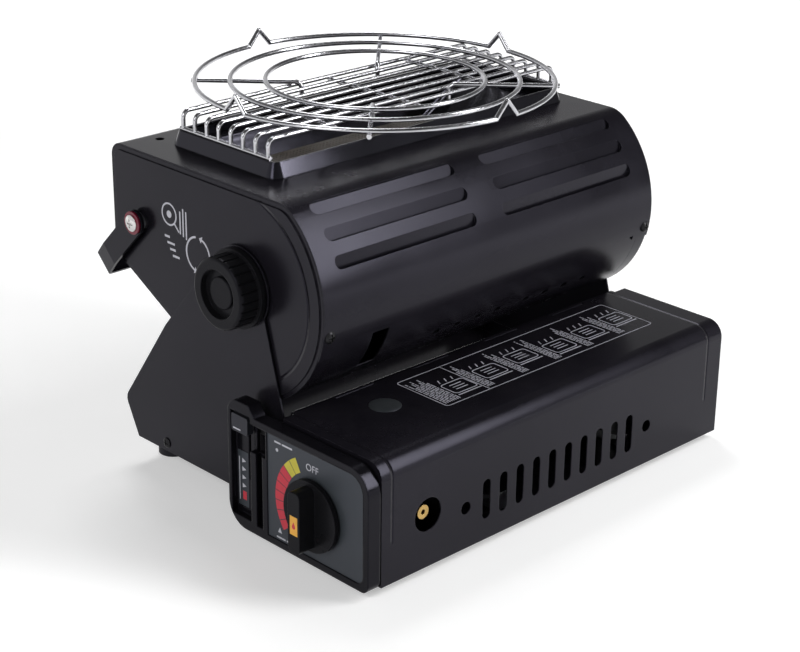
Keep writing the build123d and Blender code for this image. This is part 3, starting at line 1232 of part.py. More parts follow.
def burner_box():
    """Open box under the ceramic plate, fed by the mixing tube."""
    corner = RIM_CORNER
    outside = along_z(centred_box_profile(BOX_LENGTH, BOX_WIDTH, corner), BOX_BOTTOM, BOX_TOP)
    wall = 2 * BURNER_BOX_WALL
    inner_face = centred_box_profile(BOX_LENGTH - wall, BOX_WIDTH - wall, corner - BURNER_BOX_WALL)
    inside = along_z(inner_face, BOX_BOTTOM + BURNER_BOX_WALL, BOX_TOP + 1)
    ledge_top = BOX_TOP + CERAMIC_PROUD - CERAMIC_THICKNESS - SEAM
    ledge_inner = centred_box_profile(BOX_LENGTH - 6 * wall, BOX_WIDTH - 6 * wall, 1.0)
    ledge = along_z(inner_face - ledge_inner, ledge_top - BURNER_BOX_WALL, ledge_top)
    turn_x, turn_y = mixing_outlet()
    inlet_top = BOX_BOTTOM + 2 * BURNER_BOX_WALL
    inlet = rod_z(turn_x, turn_y, BOX_BOTTOM - 1, inlet_top, MIXING_RADIUS - MIXING_WALL)
    return outside - inside + ledge - inlet


def ceramic_burner():
    """Ceramic plate with a shallow grid of grooves."""
    top = BOX_TOP + CERAMIC_PROUD
    face = centred_box_profile(BURNER_LENGTH, BURNER_WIDTH, RIM_CORNER - BURNER_BOX_WALL)
    return along_z(face, top - CERAMIC_THICKNESS, top)


def mixing_outlet():
    return BURNER_X + MIXING_TURN, BURNER_Y - MIXING_OUTLET_STEP


def mixing_tube():
    """Venturi tube along the pivot axis, turned up into the burner box."""
    turn_x, turn_y = mixing_outlet()
    points = [
        (MIXING_START, TILT_Y, TILT_Z), (turn_x, TILT_Y, TILT_Z), (turn_x, turn_y, TILT_Z),
        (turn_x, turn_y, BOX_BOTTOM),
    ]
    tube = wire(points, MIXING_BEND, MIXING_RADIUS) - wire(points, MIXING_BEND, MIXING_RADIUS - MIXING_WALL)
    window_left = MIXING_START + AIR_WINDOW_START
    half = AIR_WINDOW_HEIGHT / 2
    window = block(
        window_left, window_left + AIR_WINDOW_LENGTH, TILT_Y - 2 * MIXING_RADIUS, TILT_Y + 2 * MIXING_RADIUS,
        TILT_Z - half, TILT_Z + half,
    )
    return tube - window


def gas_injector():
    """Brass jet between the hose coupling and the mixing tube."""
    flange_end = MIXING_START - SEAM
    flange = rod_x(INJECTOR_START, flange_end, TILT_Y, TILT_Z, INJECTOR_FLANGE_RADIUS)
    plug_radius = MIXING_RADIUS - MIXING_WALL - RUNNING_FIT
    plug = rod_x(flange_end, flange_end + INJECTOR_PLUG, TILT_Y, TILT_Z, plug_radius)
    spigot = rod_x(COUPLING_START + SPIGOT_SEAT, INJECTOR_START, TILT_Y, TILT_Z, SPIGOT_RADIUS)
    return joined([flange, plug, spigot])


def electrode_x():
    return BURNER_X - BOX_LENGTH / 2 - ELECTRODE_INSET


def spark_electrode():
    """Ceramic insulator and bent tip at the burner's left end."""
    tip_z = BOX_TOP + CERAMIC_PROUD + ELECTRODE_TIP_RISE
    left = electrode_x()
    body_top = tip_z - ELECTRODE_TIP_RISE / 2
    body = rod_z(left, BURNER_Y, body_top - ELECTRODE_BODY, body_top, ELECTRODE_RADIUS)
    points = [
        (left, BURNER_Y, body_top - 1),
        (left, BURNER_Y, tip_z + 1),
        (left + ELECTRODE_TIP_REACH, BURNER_Y, tip_z),
    ]
    return body + wire(points, ELECTRODE_TIP_BEND, ELECTRODE_TIP_RADIUS)


def electrode_lead():
    """Lead from the electrode down to the injector flange."""
    left = electrode_x()
    start_z = BOX_TOP + CERAMIC_PROUD + ELECTRODE_TIP_RISE / 2 - ELECTRODE_BODY
    end_x = INJECTOR_START + INJECTOR_FLANGE / 2
    side_y = TILT_Y + INJECTOR_FLANGE_RADIUS + LEAD_RADIUS
    points = [
        (left, BURNER_Y, start_z), (left, BURNER_Y, start_z - 9), (left + 16, side_y + 6, TILT_Z),
        (end_x, side_y, TILT_Z),
    ]
    return swept(FilletPolyline(*points, radius=bend_radii(points)), LEAD_RADIUS)


# ---- hose and lead on the base ----
def bend_radii(points):
    """The largest arc that each corner of a route has room for."""
    radii = []
    for before, corner, after in zip(points, points[1:], points[2:]):
        run_in = Vector(*corner) - Vector(*before)
        run_out = Vector(*after) - Vector(*corner)
        half_turn = math.radians(run_in.get_angle(run_out)) / 2
        radii.append(CORD_SHARE * min(run_in.length, run_out.length) / math.tan(half_turn))
    return radii


def gas_hose():
    """Hose from the regulator, up behind the bay, to the pivot axis."""
    points = [
        (HOSE_X, REGULATOR_REAR + OUTLET_LENGTH, HOSE_Z), (HOSE_X, 112.0, HOSE_Z), (42.0, 160.0, 34.0),
        (HOSE_PLANE_X, HOSE_LOW_Y, HOSE_LOW_Z), (HOSE_PLANE_X, HOSE_ENTRY_Y, HOSE_ENTRY_Z),
        (HOSE_PLANE_X, TILT_Y, TILT_Z),
        (COUPLING_START, TILT_Y, TILT_Z),
    ]
    radii = bend_radii(points)
    print("hose radii", [round(radius, 1) for radius in radii])
    return swept(FilletPolyline(*points, radius=radii), HOSE_RADIUS)


def hose_coupling():
    """Swivel socket on the hose end, coaxial with the tilt pivot."""
    body = rod_x(COUPLING_START, COUPLING_END, TILT_Y, TILT_Z, COUPLING_RADIUS)
    bore_start = COUPLING_START + SPIGOT_SEAT - MOVING_GAP
    bore = rod_x(bore_start, COUPLING_END + 1, TILT_Y, TILT_Z, SPIGOT_RADIUS + RUNNING_FIT)
    return body - bore


def ignition_lead():
    """Lead from the igniter, beside the hose, to the swivel coupling."""
    plane_x = HOSE_PLANE_X - HOSE_RADIUS - LEAD_RADIUS - SEAM
    side_y = TILT_Y - LEAD_SIDE_DROP
    side_z = TILT_Z + LEAD_SIDE_RISE
    start_x = IGNITER_LEFT + IGNITER_WIDTH / 2
    points = [
        (start_x, IGNITER_FRONT + IGNITER_DEPTH, LEAD_START_Z), (start_x, 46.0, LEAD_START_Z),
        (24.5, 72.0, 23.0), (25.0, 100.0, 26.0),
        (plane_x, 150.0, 31.0), (plane_x, HOSE_LOW_Y, HOSE_LOW_Z), (plane_x, HOSE_ENTRY_Y, HOSE_ENTRY_Z),
        (plane_x, side_y, side_z), (COUPLING_START + 3, side_y, side_z),
    ]
    radii = bend_radii(points)
    print("lead radii", [round(radius, 1) for radius in radii])
    return swept(FilletPolyline(*points, radius=radii), LEAD_RADIUS)


# ---- wire guard and pot support ----
def wire_guard():
    """Eight bars with turned-down ends on two end wires and three cross wires."""
    end_z = BODY_HEIGHT + SEAM + GUARD_WIRE * WELD_SWELL
    left = BURNER_X - RIM_LENGTH / 2 + COLLAR_WALL / 2
    right = BURNER_X + RIM_LENGTH / 2 - COLLAR_WALL / 2
    span = (GUARD_COUNT - 1) * GUARD_PITCH
    first_y = BURNER_Y - span / 2
    bars = []
    for index in range(GUARD_COUNT):
        bar_y = first_y + index * GUARD_PITCH
        ends = [(left, end_z), (left, GUARD_Z), (right, GUARD_Z), (right, end_z)]
        bars.append(wire([(x, bar_y, z) for x, z in ends], GUARD_BEND, GUARD_WIRE))
    front = first_y - GUARD_OVERHANG
    rear = first_y + span + GUARD_OVERHANG
    end_wires = [rod_y(x, front, rear, end_z, GUARD_WIRE * WELD_SWELL) for x in (left, right)]
    cross_z = GUARD_Z - 2 * GUARD_WIRE + WELD
    cross_starts = [FRAME_LEFT + start for start in GUARD_CROSS_STARTS]
    cross_wires = [rod_y(x, front, rear, cross_z, GUARD_WIRE) for x in cross_starts]
    return joined(bars + end_wires + cross_wires)


def peaked_ring():
    """Outer ring whose wire rises in a small peak on each side."""
    radius = SUPPORT_RINGS[0]
    half = math.degrees(math.asin(SUPPORT_PEAK_HALF_WIDTH / radius))
    pieces = []
    for quarter in range(4):
        middle = 90.0 * quarter
        tip = around(radius, middle, RING_Z + SUPPORT_PEAK)
        arc = CenterArc((BURNER_X, BURNER_Y, RING_Z), radius, middle + half, 90.0 - 2 * half)
        pieces.append(swept(arc, SUPPORT_WIRE))
        pieces.append(Pos(*tip) * Sphere(SUPPORT_WIRE * WELD_SWELL))
        for foot in (around(radius, middle - half, RING_Z), around(radius, middle + half, RING_Z)):
            pieces.append(swept(Line(foot, tip), SUPPORT_WIRE))
            pieces.append(Pos(*foot) * Sphere(SUPPORT_WIRE * WELD_SWELL))
    return joined(pieces)


def around(radius, degrees, height):
    angle = math.radians(degrees)
    return (BURNER_X + radius * math.cos(angle), BURNER_Y + radius * math.sin(angle), height)


def pot_support():
    """Three rings on four spokes whose inner ends drop between the bars."""
    rings = [Pos(BURNER_X, BURNER_Y, RING_Z) * Torus(radius, SUPPORT_WIRE) for radius in SUPPORT_RINGS[1:]]
    spokes = []
    for quarter in range(4):
        diagonal = 45.0 + 90.0 * quarter
        points = [
            around(SPOKE_OUTER, diagonal, SPOKE_Z), around(SPOKE_INNER, diagonal, SPOKE_Z),
            around(SPOKE_INNER, diagonal, SPOKE_Z - SPOKE_LEG),
        ]
        spokes.append(wire(points, SPOKE_BEND, SUPPORT_WIRE))
    return joined([peaked_ring()] + rings + spokes)


# ---- carrying handle ----
def handle_place():
    """Plane through the handle pivots: x across, y along the hanging arms."""
    across = (0, math.sin(HANDLE_HANG), math.cos(HANDLE_HANG))
    return Plane(origin=(0, HANDLE_PIVOT_Y, HANDLE_PIVOT_Z), x_dir=(1, 0, 0), z_dir=across)


def handle_path(inset):
    """Plan of the strap: down one arm, across the grip and back."""
    left = HANDLE_ARM_X + inset
    right = HANDLE_RIGHT - inset
    reach = HANDLE_REACH - inset
    arm = HANDLE_REACH - HANDLE_SHOULDER
    turned = HANDLE_TURN_IN * (1 - inset / HANDLE_SHOULDER)
    path = outline(
        (left, 0), (left, arm), (left + turned, reach), (right - turned, reach), (right, arm), (right, 0)
    )
    return fillet(path.vertices().group_by(Axis.Y)[-1], HANDLE_BEND - inset)


def carrying_handle():
    """Bent strap on two pivots, shown hanging behind the head."""
    strap = extrude(handle_place() * (handle_path(0) - handle_path(HANDLE_THICKNESS)), HANDLE_END, both=True)
    eye = rod_x(HANDLE_ARM_X, HANDLE_ARM_INNER, HANDLE_PIVOT_Y, HANDLE_PIVOT_Z, HANDLE_END)
    strap = joined([strap, eye, mirrored(eye, STAND_MID)])
    hole = rod_x(0, LENGTH, HANDLE_PIVOT_Y, HANDLE_PIVOT_Z, BUSH_SLEEVE_RADIUS + RUNNING_FIT)
    return strap - hole


def handle_bushes():
    """Shouldered bushes that the handle turns on."""
    shoulder = rod_x(HANDLE_ARM_INNER + MOVING_GAP, HEAD_LEFT, HANDLE_PIVOT_Y, HANDLE_PIVOT_Z, BUSH_RADIUS)
    sleeve_left = HANDLE_ARM_X - BUSH_PROUD
    sleeve = rod_x(sleeve_left, HEAD_LEFT, HANDLE_PIVOT_Y, HANDLE_PIVOT_Z, BUSH_SLEEVE_RADIUS)
    bore = rod_x(sleeve_left - 1, HEAD_LEFT + 1, HANDLE_PIVOT_Y, HANDLE_PIVOT_Z, HANDLE_SCREW_RADIUS)
    bush = shoulder + sleeve - bore
    return [bush, mirrored(bush, STAND_MID)]


def handle_collars():
    """Coloured washers under the handle screws."""
    right = HANDLE_ARM_X - BUSH_PROUD
    collar = rod_x(right - COLLAR_RING, right, HANDLE_PIVOT_Y, HANDLE_PIVOT_Z, COLLAR_RING_RADIUS)
    collar -= rod_x(right - COLLAR_RING - 1, right + 1, HANDLE_PIVOT_Y, HANDLE_PIVOT_Z, HANDLE_SCREW_RADIUS)
    return [collar, mirrored(collar, STAND_MID)]


def handle_screws():
    right = HANDLE_ARM_X - BUSH_PROUD - COLLAR_RING
    head = rod_x(right - HANDLE_SCREW_HEAD, right, HANDLE_PIVOT_Y, HANDLE_PIVOT_Z, HANDLE_SCREW_HEAD_RADIUS)
    head = fillet(head.edges().group_by(Axis.X)[0], HANDLE_SCREW_HEAD / 3)
    end = HEAD_LEFT + SHEET + HANDLE_SCREW_REACH
    screw = head + rod_x(right, end, HANDLE_PIVOT_Y, HANDLE_PIVOT_Z, HANDLE_SCREW_RADIUS)
    return [screw, mirrored(screw, STAND_MID)]


# ---- write every part ----
NODES = [
    front_feet, rear_feet, base_tray, rear_cross_bar, left_bay_plate, right_bay_plate, bay_rear_wall,
    lid_hinge_pin, cartridge_lid, cartridge_saddles, cartridge_guide, regulator_body, regulator_cap,
    cartridge_inlet, test_nipple, piezo_igniter, control_bezel, control_label_plate, lever_label_strip,
    lock_lever, lever_cap, flow_knob, knob_tag, valve_spindle, left_stand_plate, right_stand_plate,
    pivot_washers, base_screws, pivot_stud, right_pivot_bolt, tilt_knob, tilt_knob_insert,
    left_end_plate, right_end_plate, outer_shell, lower_shell, head_screws, burner_frame, reflector,
    burner_box, ceramic_burner, mixing_tube, gas_injector, spark_electrode, electrode_lead, gas_hose,
    hose_coupling, ignition_lead, wire_guard, pot_support, carrying_handle, handle_bushes,
    handle_collars, handle_screws,
]


def write(node):
    """Move a node to the object's origin and write it under its own name."""
    shape = node()
    solids = shape if isinstance(shape, list) else [shape]
    placed = [Pos(-X_MID, -Y_MID, 0) * solid for solid in solids]
    whole = placed[0] if len(placed) == 1 else Compound(children=placed)
    whole.label = node.__name__
    export_step(whole, os.path.join("parts", node.__name__ + ".step"))


os.makedirs("parts", exist_ok=True)
for node in NODES:
    write(node)
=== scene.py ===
import json
import math

import bmesh
import bpy
from bpy.props import FloatProperty, FloatVectorProperty, IntProperty, PointerProperty
from mathutils import Matrix, Vector


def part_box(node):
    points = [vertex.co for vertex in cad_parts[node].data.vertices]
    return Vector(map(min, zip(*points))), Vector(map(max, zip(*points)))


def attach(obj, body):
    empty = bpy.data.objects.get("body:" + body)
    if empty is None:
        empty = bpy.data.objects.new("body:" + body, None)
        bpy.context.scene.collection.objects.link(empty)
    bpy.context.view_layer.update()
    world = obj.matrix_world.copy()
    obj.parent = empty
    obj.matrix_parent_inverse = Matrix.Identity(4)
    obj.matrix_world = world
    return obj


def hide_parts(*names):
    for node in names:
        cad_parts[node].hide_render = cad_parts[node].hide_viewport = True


bl_info = {
    "name": "Tabletop Heater Finish",
    "version": (1, 0, 0),
    "blender": (4, 5, 0),
    "location": "3D View > Sidebar > Heater",
    "description": "Finishes, printed marks and small parts of a tilting tabletop heater",
    "category": "Object",
}

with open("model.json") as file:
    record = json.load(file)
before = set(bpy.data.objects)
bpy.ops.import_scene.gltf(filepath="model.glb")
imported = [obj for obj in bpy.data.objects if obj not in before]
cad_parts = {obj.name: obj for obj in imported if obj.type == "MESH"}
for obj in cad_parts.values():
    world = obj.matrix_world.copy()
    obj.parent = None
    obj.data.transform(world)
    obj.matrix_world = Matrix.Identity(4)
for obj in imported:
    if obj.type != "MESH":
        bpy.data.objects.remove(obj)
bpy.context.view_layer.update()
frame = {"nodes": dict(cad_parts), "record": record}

MM = 0.001
PRINT_LIFT = 0.04 * MM      # printed marks stand this far off their panel
PRINT_SINK = 0.02 * MM
TAG_PRINT_LIFT = 0.008 * MM   # the tag is the outermost face, so its print is thinner

# Flow scale round the valve, in degrees from the panel's right.
SCALE_INNER = 22.8 * MM
SCALE_OUTER = 31.0 * MM
SCALE_OFF_END = 118.0
SCALE_LIGHT_END = 129.5
SCALE_HIGH_END = 141.0
SCALE_LOW_END = 218.0

# Printed panel and round boss on the lid, from the lid's left front corner.
LID_PANEL_LEFT = 73.8 * MM
LID_PANEL_FRONT = 27.5 * MM
LID_PANEL_LENGTH = 171.0 * MM
LID_PANEL_DEPTH = 40.0 * MM
LID_PANEL_FIRST = 33.0 * MM
LID_PANEL_FIELDS = 5
DASHES = (3.1 * MM, 1.6 * MM, 4.3 * MM, 2.2 * MM, 3.6 * MM)
BOSS_LEFT = 50.4 * MM
BOSS_FRONT = 51.0 * MM
PANEL_INK = (0.4, 0.4, 0.45)

# Pocket behind the finger slot, from the bezel's left front foot.
POCKET_FRONT = 2.63 * MM
POCKET_BACK = 5.2 * MM
POCKET_WALL = 0.6 * MM
POCKET_START = 81.2 * MM
POCKET_WIDTH = 6.6 * MM
POCKET_FOOT = 4.2 * MM
POCKET_HEIGHT = 44.6 * MM

# Drawing on the head's left end, from the tilt pivot.
SIDE_MARK_BACK = 61.4 * MM
SIDE_MARK_RISE = 24.3 * MM

# Pressed beads in the sheets.
LID_BEAD_LEFT = 7.3 * MM
LID_BEAD_RIGHT = 13.0 * MM
LID_BEAD_FOOT = 27.0 * MM
END_BEAD_RADIUS = 52.5 * MM
PRESSED_DEPTH = 0.45 * MM

SCREW_AXES = [Vector((1, 0, 0)), Vector((0, 1, 0)), Vector((0, 0, 1))]


# ---- settings ----
class HeaterPaint(bpy.types.PropertyGroup):
    """Colours of the heater's finishes."""

    body: FloatVectorProperty(
        name="Body", description="Black paint of the steel sheets", subtype="COLOR",
        default=(0.0062, 0.0056, 0.0078), min=0.0, max=1.0)
    bezel: FloatVectorProperty(
        name="Bezel", description="Moulded control bezel", subtype="COLOR",
        default=(0.0045, 0.0042, 0.0056), min=0.0, max=1.0)
    label: FloatVectorProperty(
        name="Label", description="Control label panel", subtype="COLOR",
        default=(0.038, 0.044, 0.05), min=0.0, max=1.0)
    cap: FloatVectorProperty(
        name="Lever cap", description="Cap of the lock lever", subtype="COLOR",
        default=(0.012, 0.013, 0.016), min=0.0, max=1.0)
    warm: FloatVectorProperty(
        name="Heat zone", description="High part of the flow scale", subtype="COLOR",
        default=(0.6, 0.05, 0.07), min=0.0, max=1.0)
    low: FloatVectorProperty(
        name="Low zone", description="Low part of the flow scale", subtype="COLOR",
        default=(0.62, 0.54, 0.07), min=0.0, max=1.0)
    tag: FloatVectorProperty(
        name="Knob tag", description="Tag in the flow knob", subtype="COLOR",
        default=(0.82, 0.42, 0.06), min=0.0, max=1.0)
    collar: FloatVectorProperty(
        name="Handle collar", description="Washers of the handle screws", subtype="COLOR",
        default=(0.17, 0.006, 0.025), min=0.0, max=1.0)
    ink: FloatVectorProperty(
        name="Ink", description="Printed outlines and marks", subtype="COLOR",
        default=(0.55, 0.55, 0.6), min=0.0, max=1.0)


class HeaterSizes(bpy.types.PropertyGroup):
    """Sizes of the small parts and marks."""

    bead_radius: FloatProperty(
        name="Bead radius", description="Radius of the pressed beads at the lid ends",
        default=1.1 * MM, unit="LENGTH")
    boss_radius: FloatProperty(
        name="Boss radius", description="Radius of the round boss on the lid top",
        default=9.0 * MM, unit="LENGTH")
    boss_height: FloatProperty(
        name="Boss height", description="Height of the round boss on the lid top",
        default=0.9 * MM, unit="LENGTH")
    cell_pitch: FloatProperty(
        name="Cell pitch", description="Distance between the flame holes of the ceramic plate",
        default=2.55 * MM, unit="LENGTH")
    line_width: FloatProperty(
        name="Line width", description="Width of printed outlines",
        default=0.55 * MM, unit="LENGTH")
    scale_gap: FloatProperty(
        name="Scale gap", description="Gap between the blocks of the flow scale",
        default=0.25 * MM, unit="LENGTH")
    red_blocks: IntProperty(
        name="Red blocks", description="Blocks in the high part of the flow scale", default=7, min=1)
    bar_rows: IntProperty(
        name="Bar rows", description="Plain bars in each field of the lid panel", default=4, min=1)


class HeaterStage(bpy.types.PropertyGroup):
    """Light and camera."""

    key_power: FloatProperty(
        name="Key power", description="Power of the soft key light", default=28.0, unit="POWER")
    side_power: FloatProperty(
        name="Side power", description="Power of the soft side light", default=9.0, unit="POWER")
    top_power: FloatProperty(
        name="Top power", description="Power of the light high behind", default=11.0, unit="POWER")
    sky: FloatProperty(
        name="Sky", description="Strength of the surrounding light near the horizon", default=1.0, min=0.0)
    ceiling: FloatProperty(
        name="Ceiling", description="Share of the surrounding light left overhead", default=0.14, min=0.0)
    azimuth: FloatProperty(
        name="Azimuth", description="Camera angle round the heater",
        default=math.radians(-44.2), subtype="ANGLE")
    elevation: FloatProperty(
        name="Elevation", description="Camera angle above the table",
        default=math.radians(22.6), subtype="ANGLE")
    roll: FloatProperty(
        name="Roll", description="Camera roll", default=math.radians(0.7), subtype="ANGLE")
    lens: FloatProperty(
        name="Lens", description="Focal length", default=87.33, min=1.0)


def paint():
    return bpy.context.scene.heater_paint


def sizes():
    return bpy.context.scene.heater_sizes


# ---- node helpers ----
def add(tree, kind, settings=None, inputs=None):
    """A node with its settings and its unlinked inputs filled in."""
    node = tree.nodes.new(kind)
    for key, value in (settings or {}).items():
        setattr(node, key, value)
    for key, value in (inputs or {}).items():
        node.inputs[key].default_value = value
    return node


def group_tree(name, inputs, outputs):
    """An empty shader group; inputs are (name, default), outputs are names."""
    tree = bpy.data.node_groups.new(name, "ShaderNodeTree")
    for label, value in inputs:
        socket = tree.interface.new_socket(label, in_out="INPUT", socket_type="NodeSocketFloat")
        socket.default_value = value
    for label in outputs:
        tree.interface.new_socket(label, in_out="OUTPUT", socket_type="NodeSocketFloat")
    return tree, add(tree, "NodeGroupInput"), add(tree, "NodeGroupOutput")


def noise(tree, place, scale, detail, roughness=0.5):
    """A noise texture in object space, with its scale linked or set."""
    texture = add(tree, "ShaderNodeTexNoise", inputs={"Detail": detail, "Roughness": roughness})
    tree.links.new(place, texture.inputs["Vector"])
    if isinstance(scale, float):
        texture.inputs["Scale"].default_value = scale
    else:
        tree.links.new(scale, texture.inputs["Scale"])
    return texture.outputs["Fac"]


def maths(tree, operation, first, second=None, clamp=False):
    """A math node on sockets or numbers."""
    node = add(tree, "ShaderNodeMath", {"operation": operation, "use_clamp": clamp})
    for index, value in enumerate((first, second)):
        if value is None:
            continue
        if isinstance(value, (int, float)):
            node.inputs[index].default_value = value
        else:
            tree.links.new(value, node.inputs[index])
    return node.outputs[0]


def spread(tree, value, low, high, to_low=0.0, to_high=1.0):
    """A value mapped from one range onto another."""
    node = add(tree, "ShaderNodeMapRange", inputs={
        "From Min": low, "From Max": high, "To Min": to_low, "To Max": to_high})
    tree.links.new(value, node.inputs["Value"])
    return node.outputs["Result"]


def mixed(tree, factor, first, second):
    """A colour between two colours or sockets."""
    node = add(tree, "ShaderNodeMix", {"data_type": "RGBA"})
    tree.links.new(factor, node.inputs["Factor"])
    for key, value in ((6, first), (7, second)):
        if isinstance(value, (tuple, list)):
            node.inputs[key].default_value = (*value[:3], 1.0)
        else:
            tree.links.new(value, node.inputs[key])
    return node.outputs[2]


def object_place(tree, stretch=(1.0, 1.0, 1.0)):
    """Object coordinates, stretched."""
    place = add(tree, "ShaderNodeTexCoord").outputs["Object"]
    if stretch == (1.0, 1.0, 1.0):
        return place
    mapping = add(tree, "ShaderNodeMapping", inputs={"Scale": stretch})
    tree.links.new(place, mapping.inputs["Vector"])
    return mapping.outputs["Vector"]


# ---- shared effects ----
def grain_group():
    """Fine bumps, a slow drift and small specks of a sprayed or moulded skin."""
    tree, given, result = group_tree(
        "Skin Grain", [("Grain Scale", 2600.0), ("Drift Scale", 14.0), ("Fleck Scale", 420.0)],
        ["Height", "Drift", "Flecks"])
    place = object_place(tree)
    fine = noise(tree, place, given.outputs["Grain Scale"], 3.0)
    slow = noise(tree, place, given.outputs["Drift Scale"], 4.0, 0.55)
    specks = noise(tree, place, given.outputs["Fleck Scale"], 1.0)
    tree.links.new(fine, result.inputs["Height"])
    tree.links.new(spread(tree, slow, 0.36, 0.64), result.inputs["Drift"])
    tree.links.new(spread(tree, specks, 0.66, 0.76), result.inputs["Flecks"])
    return tree


def wear_group():
    """A mask of the sharp edges, broken up by noise."""
    tree, given, result = group_tree("Edge Wear", [("Width", 0.0006), ("Amount", 0.5)], ["Mask"])
    bevel = add(tree, "ShaderNodeBevel", {"samples": 4})
    tree.links.new(given.outputs["Width"], bevel.inputs["Radius"])
    flat = add(tree, "ShaderNodeNewGeometry").outputs["Normal"]
    dot = add(tree, "ShaderNodeVectorMath", {"operation": "DOT_PRODUCT"})
    tree.links.new(bevel.outputs["Normal"], dot.inputs[0])
    tree.links.new(flat, dot.inputs[1])
    edge = spread(tree, dot.outputs["Value"], 0.995, 0.8)
    broken = spread(tree, noise(tree, object_place(tree), 230.0, 5.0, 0.65), 0.45, 0.62)
    mask = maths(tree, "MULTIPLY", edge, broken)
    tree.links.new(maths(tree, "MULTIPLY", mask, given.outputs["Amount"], clamp=True), result.inputs["Mask"])
    return tree


def dust_group():
    """A mask of dust that settles on faces that look up."""
    tree, given, result = group_tree("Settled Dust", [("Amount", 0.3)], ["Mask"])
    axes = add(tree, "ShaderNodeSeparateXYZ")
    tree.links.new(add(tree, "ShaderNodeNewGeometry").outputs["Normal"], axes.inputs[0])
    up = spread(tree, axes.outputs["Z"], 0.5, 1.0)
    patches = spread(tree, noise(tree, object_place(tree), 60.0, 6.0, 0.7), 0.42, 0.75)
    mask = maths(tree, "MULTIPLY", up, patches)
    tree.links.new(maths(tree, "MULTIPLY", mask, given.outputs["Amount"], clamp=True), result.inputs["Mask"])
    return tree


def shared(name, maker):
    """The named node group, built the first time that it is asked for."""
    return bpy.data.node_groups.get(name) or maker()


def placed_group(tree, group, **inputs):
    node = add(tree, "ShaderNodeGroup", {"node_tree": group})
    for key, value in inputs.items():
        node.inputs[key.replace("_", " ").title()].default_value = value
    return node


# ---- materials ----
BLACK_GLOSS = (0.72, 0.7, 0.92)     # tint of the reflections in the black finishes
WHITE_GLOSS = (1.0, 1.0, 1.0)
OWN_PREFIX = "heater_"              # keeps these apart from the plain materials of the frame


def new_finish(name, roughness, metallic=0.0, coat=0.0, ior=1.5, gloss=(1.0, 1.0, 1.0)):
    """An empty material with its shader; returns it with its tree and shader."""
    material = bpy.data.materials.new(OWN_PREFIX + name)
    material.use_nodes = True
    tree = material.node_tree
    shader = tree.nodes["Principled BSDF"]
    shader.inputs["Roughness"].default_value = roughness
    shader.inputs["Metallic"].default_value = metallic
    shader.inputs["Coat Weight"].default_value = coat
    shader.inputs["Coat Roughness"].default_value = 0.08
    shader.inputs["IOR"].default_value = ior
    shader.inputs["Specular Tint"].default_value = (*gloss, 1.0)
    return material, tree, shader


def lay_bump(tree, shader, height, strength, distance, rounding, pressed=None):
    """Bump on top of softly rounded edges, and on top of any pressed lines."""
    under = add(tree, "ShaderNodeBevel", {"samples": 4}, {"Radius": rounding}).outputs["Normal"]
    if pressed:
        line_bump = add(tree, "ShaderNodeBump", {"invert": True}, {"Strength": 1.0, "Distance": PRESSED_DEPTH})
        tree.links.new(pressed(tree), line_bump.inputs["Height"])
        tree.links.new(under, line_bump.inputs["Normal"])
        under = line_bump.outputs["Normal"]
    bump = add(tree, "ShaderNodeBump", inputs={"Strength": strength, "Distance": distance})
    tree.links.new(height, bump.inputs["Height"])
    tree.links.new(under, bump.inputs["Normal"])
    tree.links.new(bump.outputs["Normal"], shader.inputs["Normal"])


def skinned(name, color, roughness, *, lift=1.35, grain=2600.0, depth=0.02, spread_by=0.08, coat=0.0,
            worn=(0.10, 0.10, 0.105), wear=0.35, dust=0.25, rounding=0.0004, drift=14.0, ior=1.4,
            gloss=BLACK_GLOSS, pressed=None):
    """A sprayed or moulded skin: grain, slow colour drift, worn edges and a little dust."""
    material, tree, shader = new_finish(name, roughness, coat=coat, ior=ior, gloss=gloss)
    skin = placed_group(tree, shared("Skin Grain", grain_group), grain_scale=grain, drift_scale=drift)
    edges = placed_group(tree, shared("Edge Wear", wear_group), amount=wear)
    settled = placed_group(tree, shared("Settled Dust", dust_group), amount=dust)
    lighter = tuple(min(1.0, channel * lift) for channel in color)
    base = mixed(tree, skin.outputs["Drift"], tuple(color), lighter)
    speckled = mixed(tree, maths(tree, "MULTIPLY", skin.outputs["Flecks"], 0.25), base, lighter)
    rubbed = mixed(tree, edges.outputs["Mask"], speckled, worn)
    dusty = mixed(tree, maths(tree, "MULTIPLY", settled.outputs["Mask"], 0.12), rubbed, (0.35, 0.34, 0.33))
    tree.links.new(dusty, shader.inputs["Base Color"])
    uneven = spread(tree, skin.outputs["Drift"], 0.0, 1.0, roughness - spread_by / 2, roughness + spread_by / 2)
    dulled = maths(tree, "ADD", uneven, maths(tree, "MULTIPLY", settled.outputs["Mask"], 0.2), clamp=True)
    tree.links.new(dulled, shader.inputs["Roughness"])
    lay_bump(tree, shader, skin.outputs["Height"], 0.5, depth * MM, rounding, pressed)
    return material


def sheet_paint(name, pressed=None):
    return skinned(name, paint().body, 0.24, lift=1.45, grain=2400.0, depth=0.02, spread_by=0.06,
                   dust=0.08, ior=1.29, pressed=pressed)


def black_paint():
    return sheet_paint("black_paint")


def line_height(tree, distance, width):
    """Height of a pressed line, from how far a point is from its middle."""
    return spread(tree, distance, 0.0, width, 1.0, 0.0)


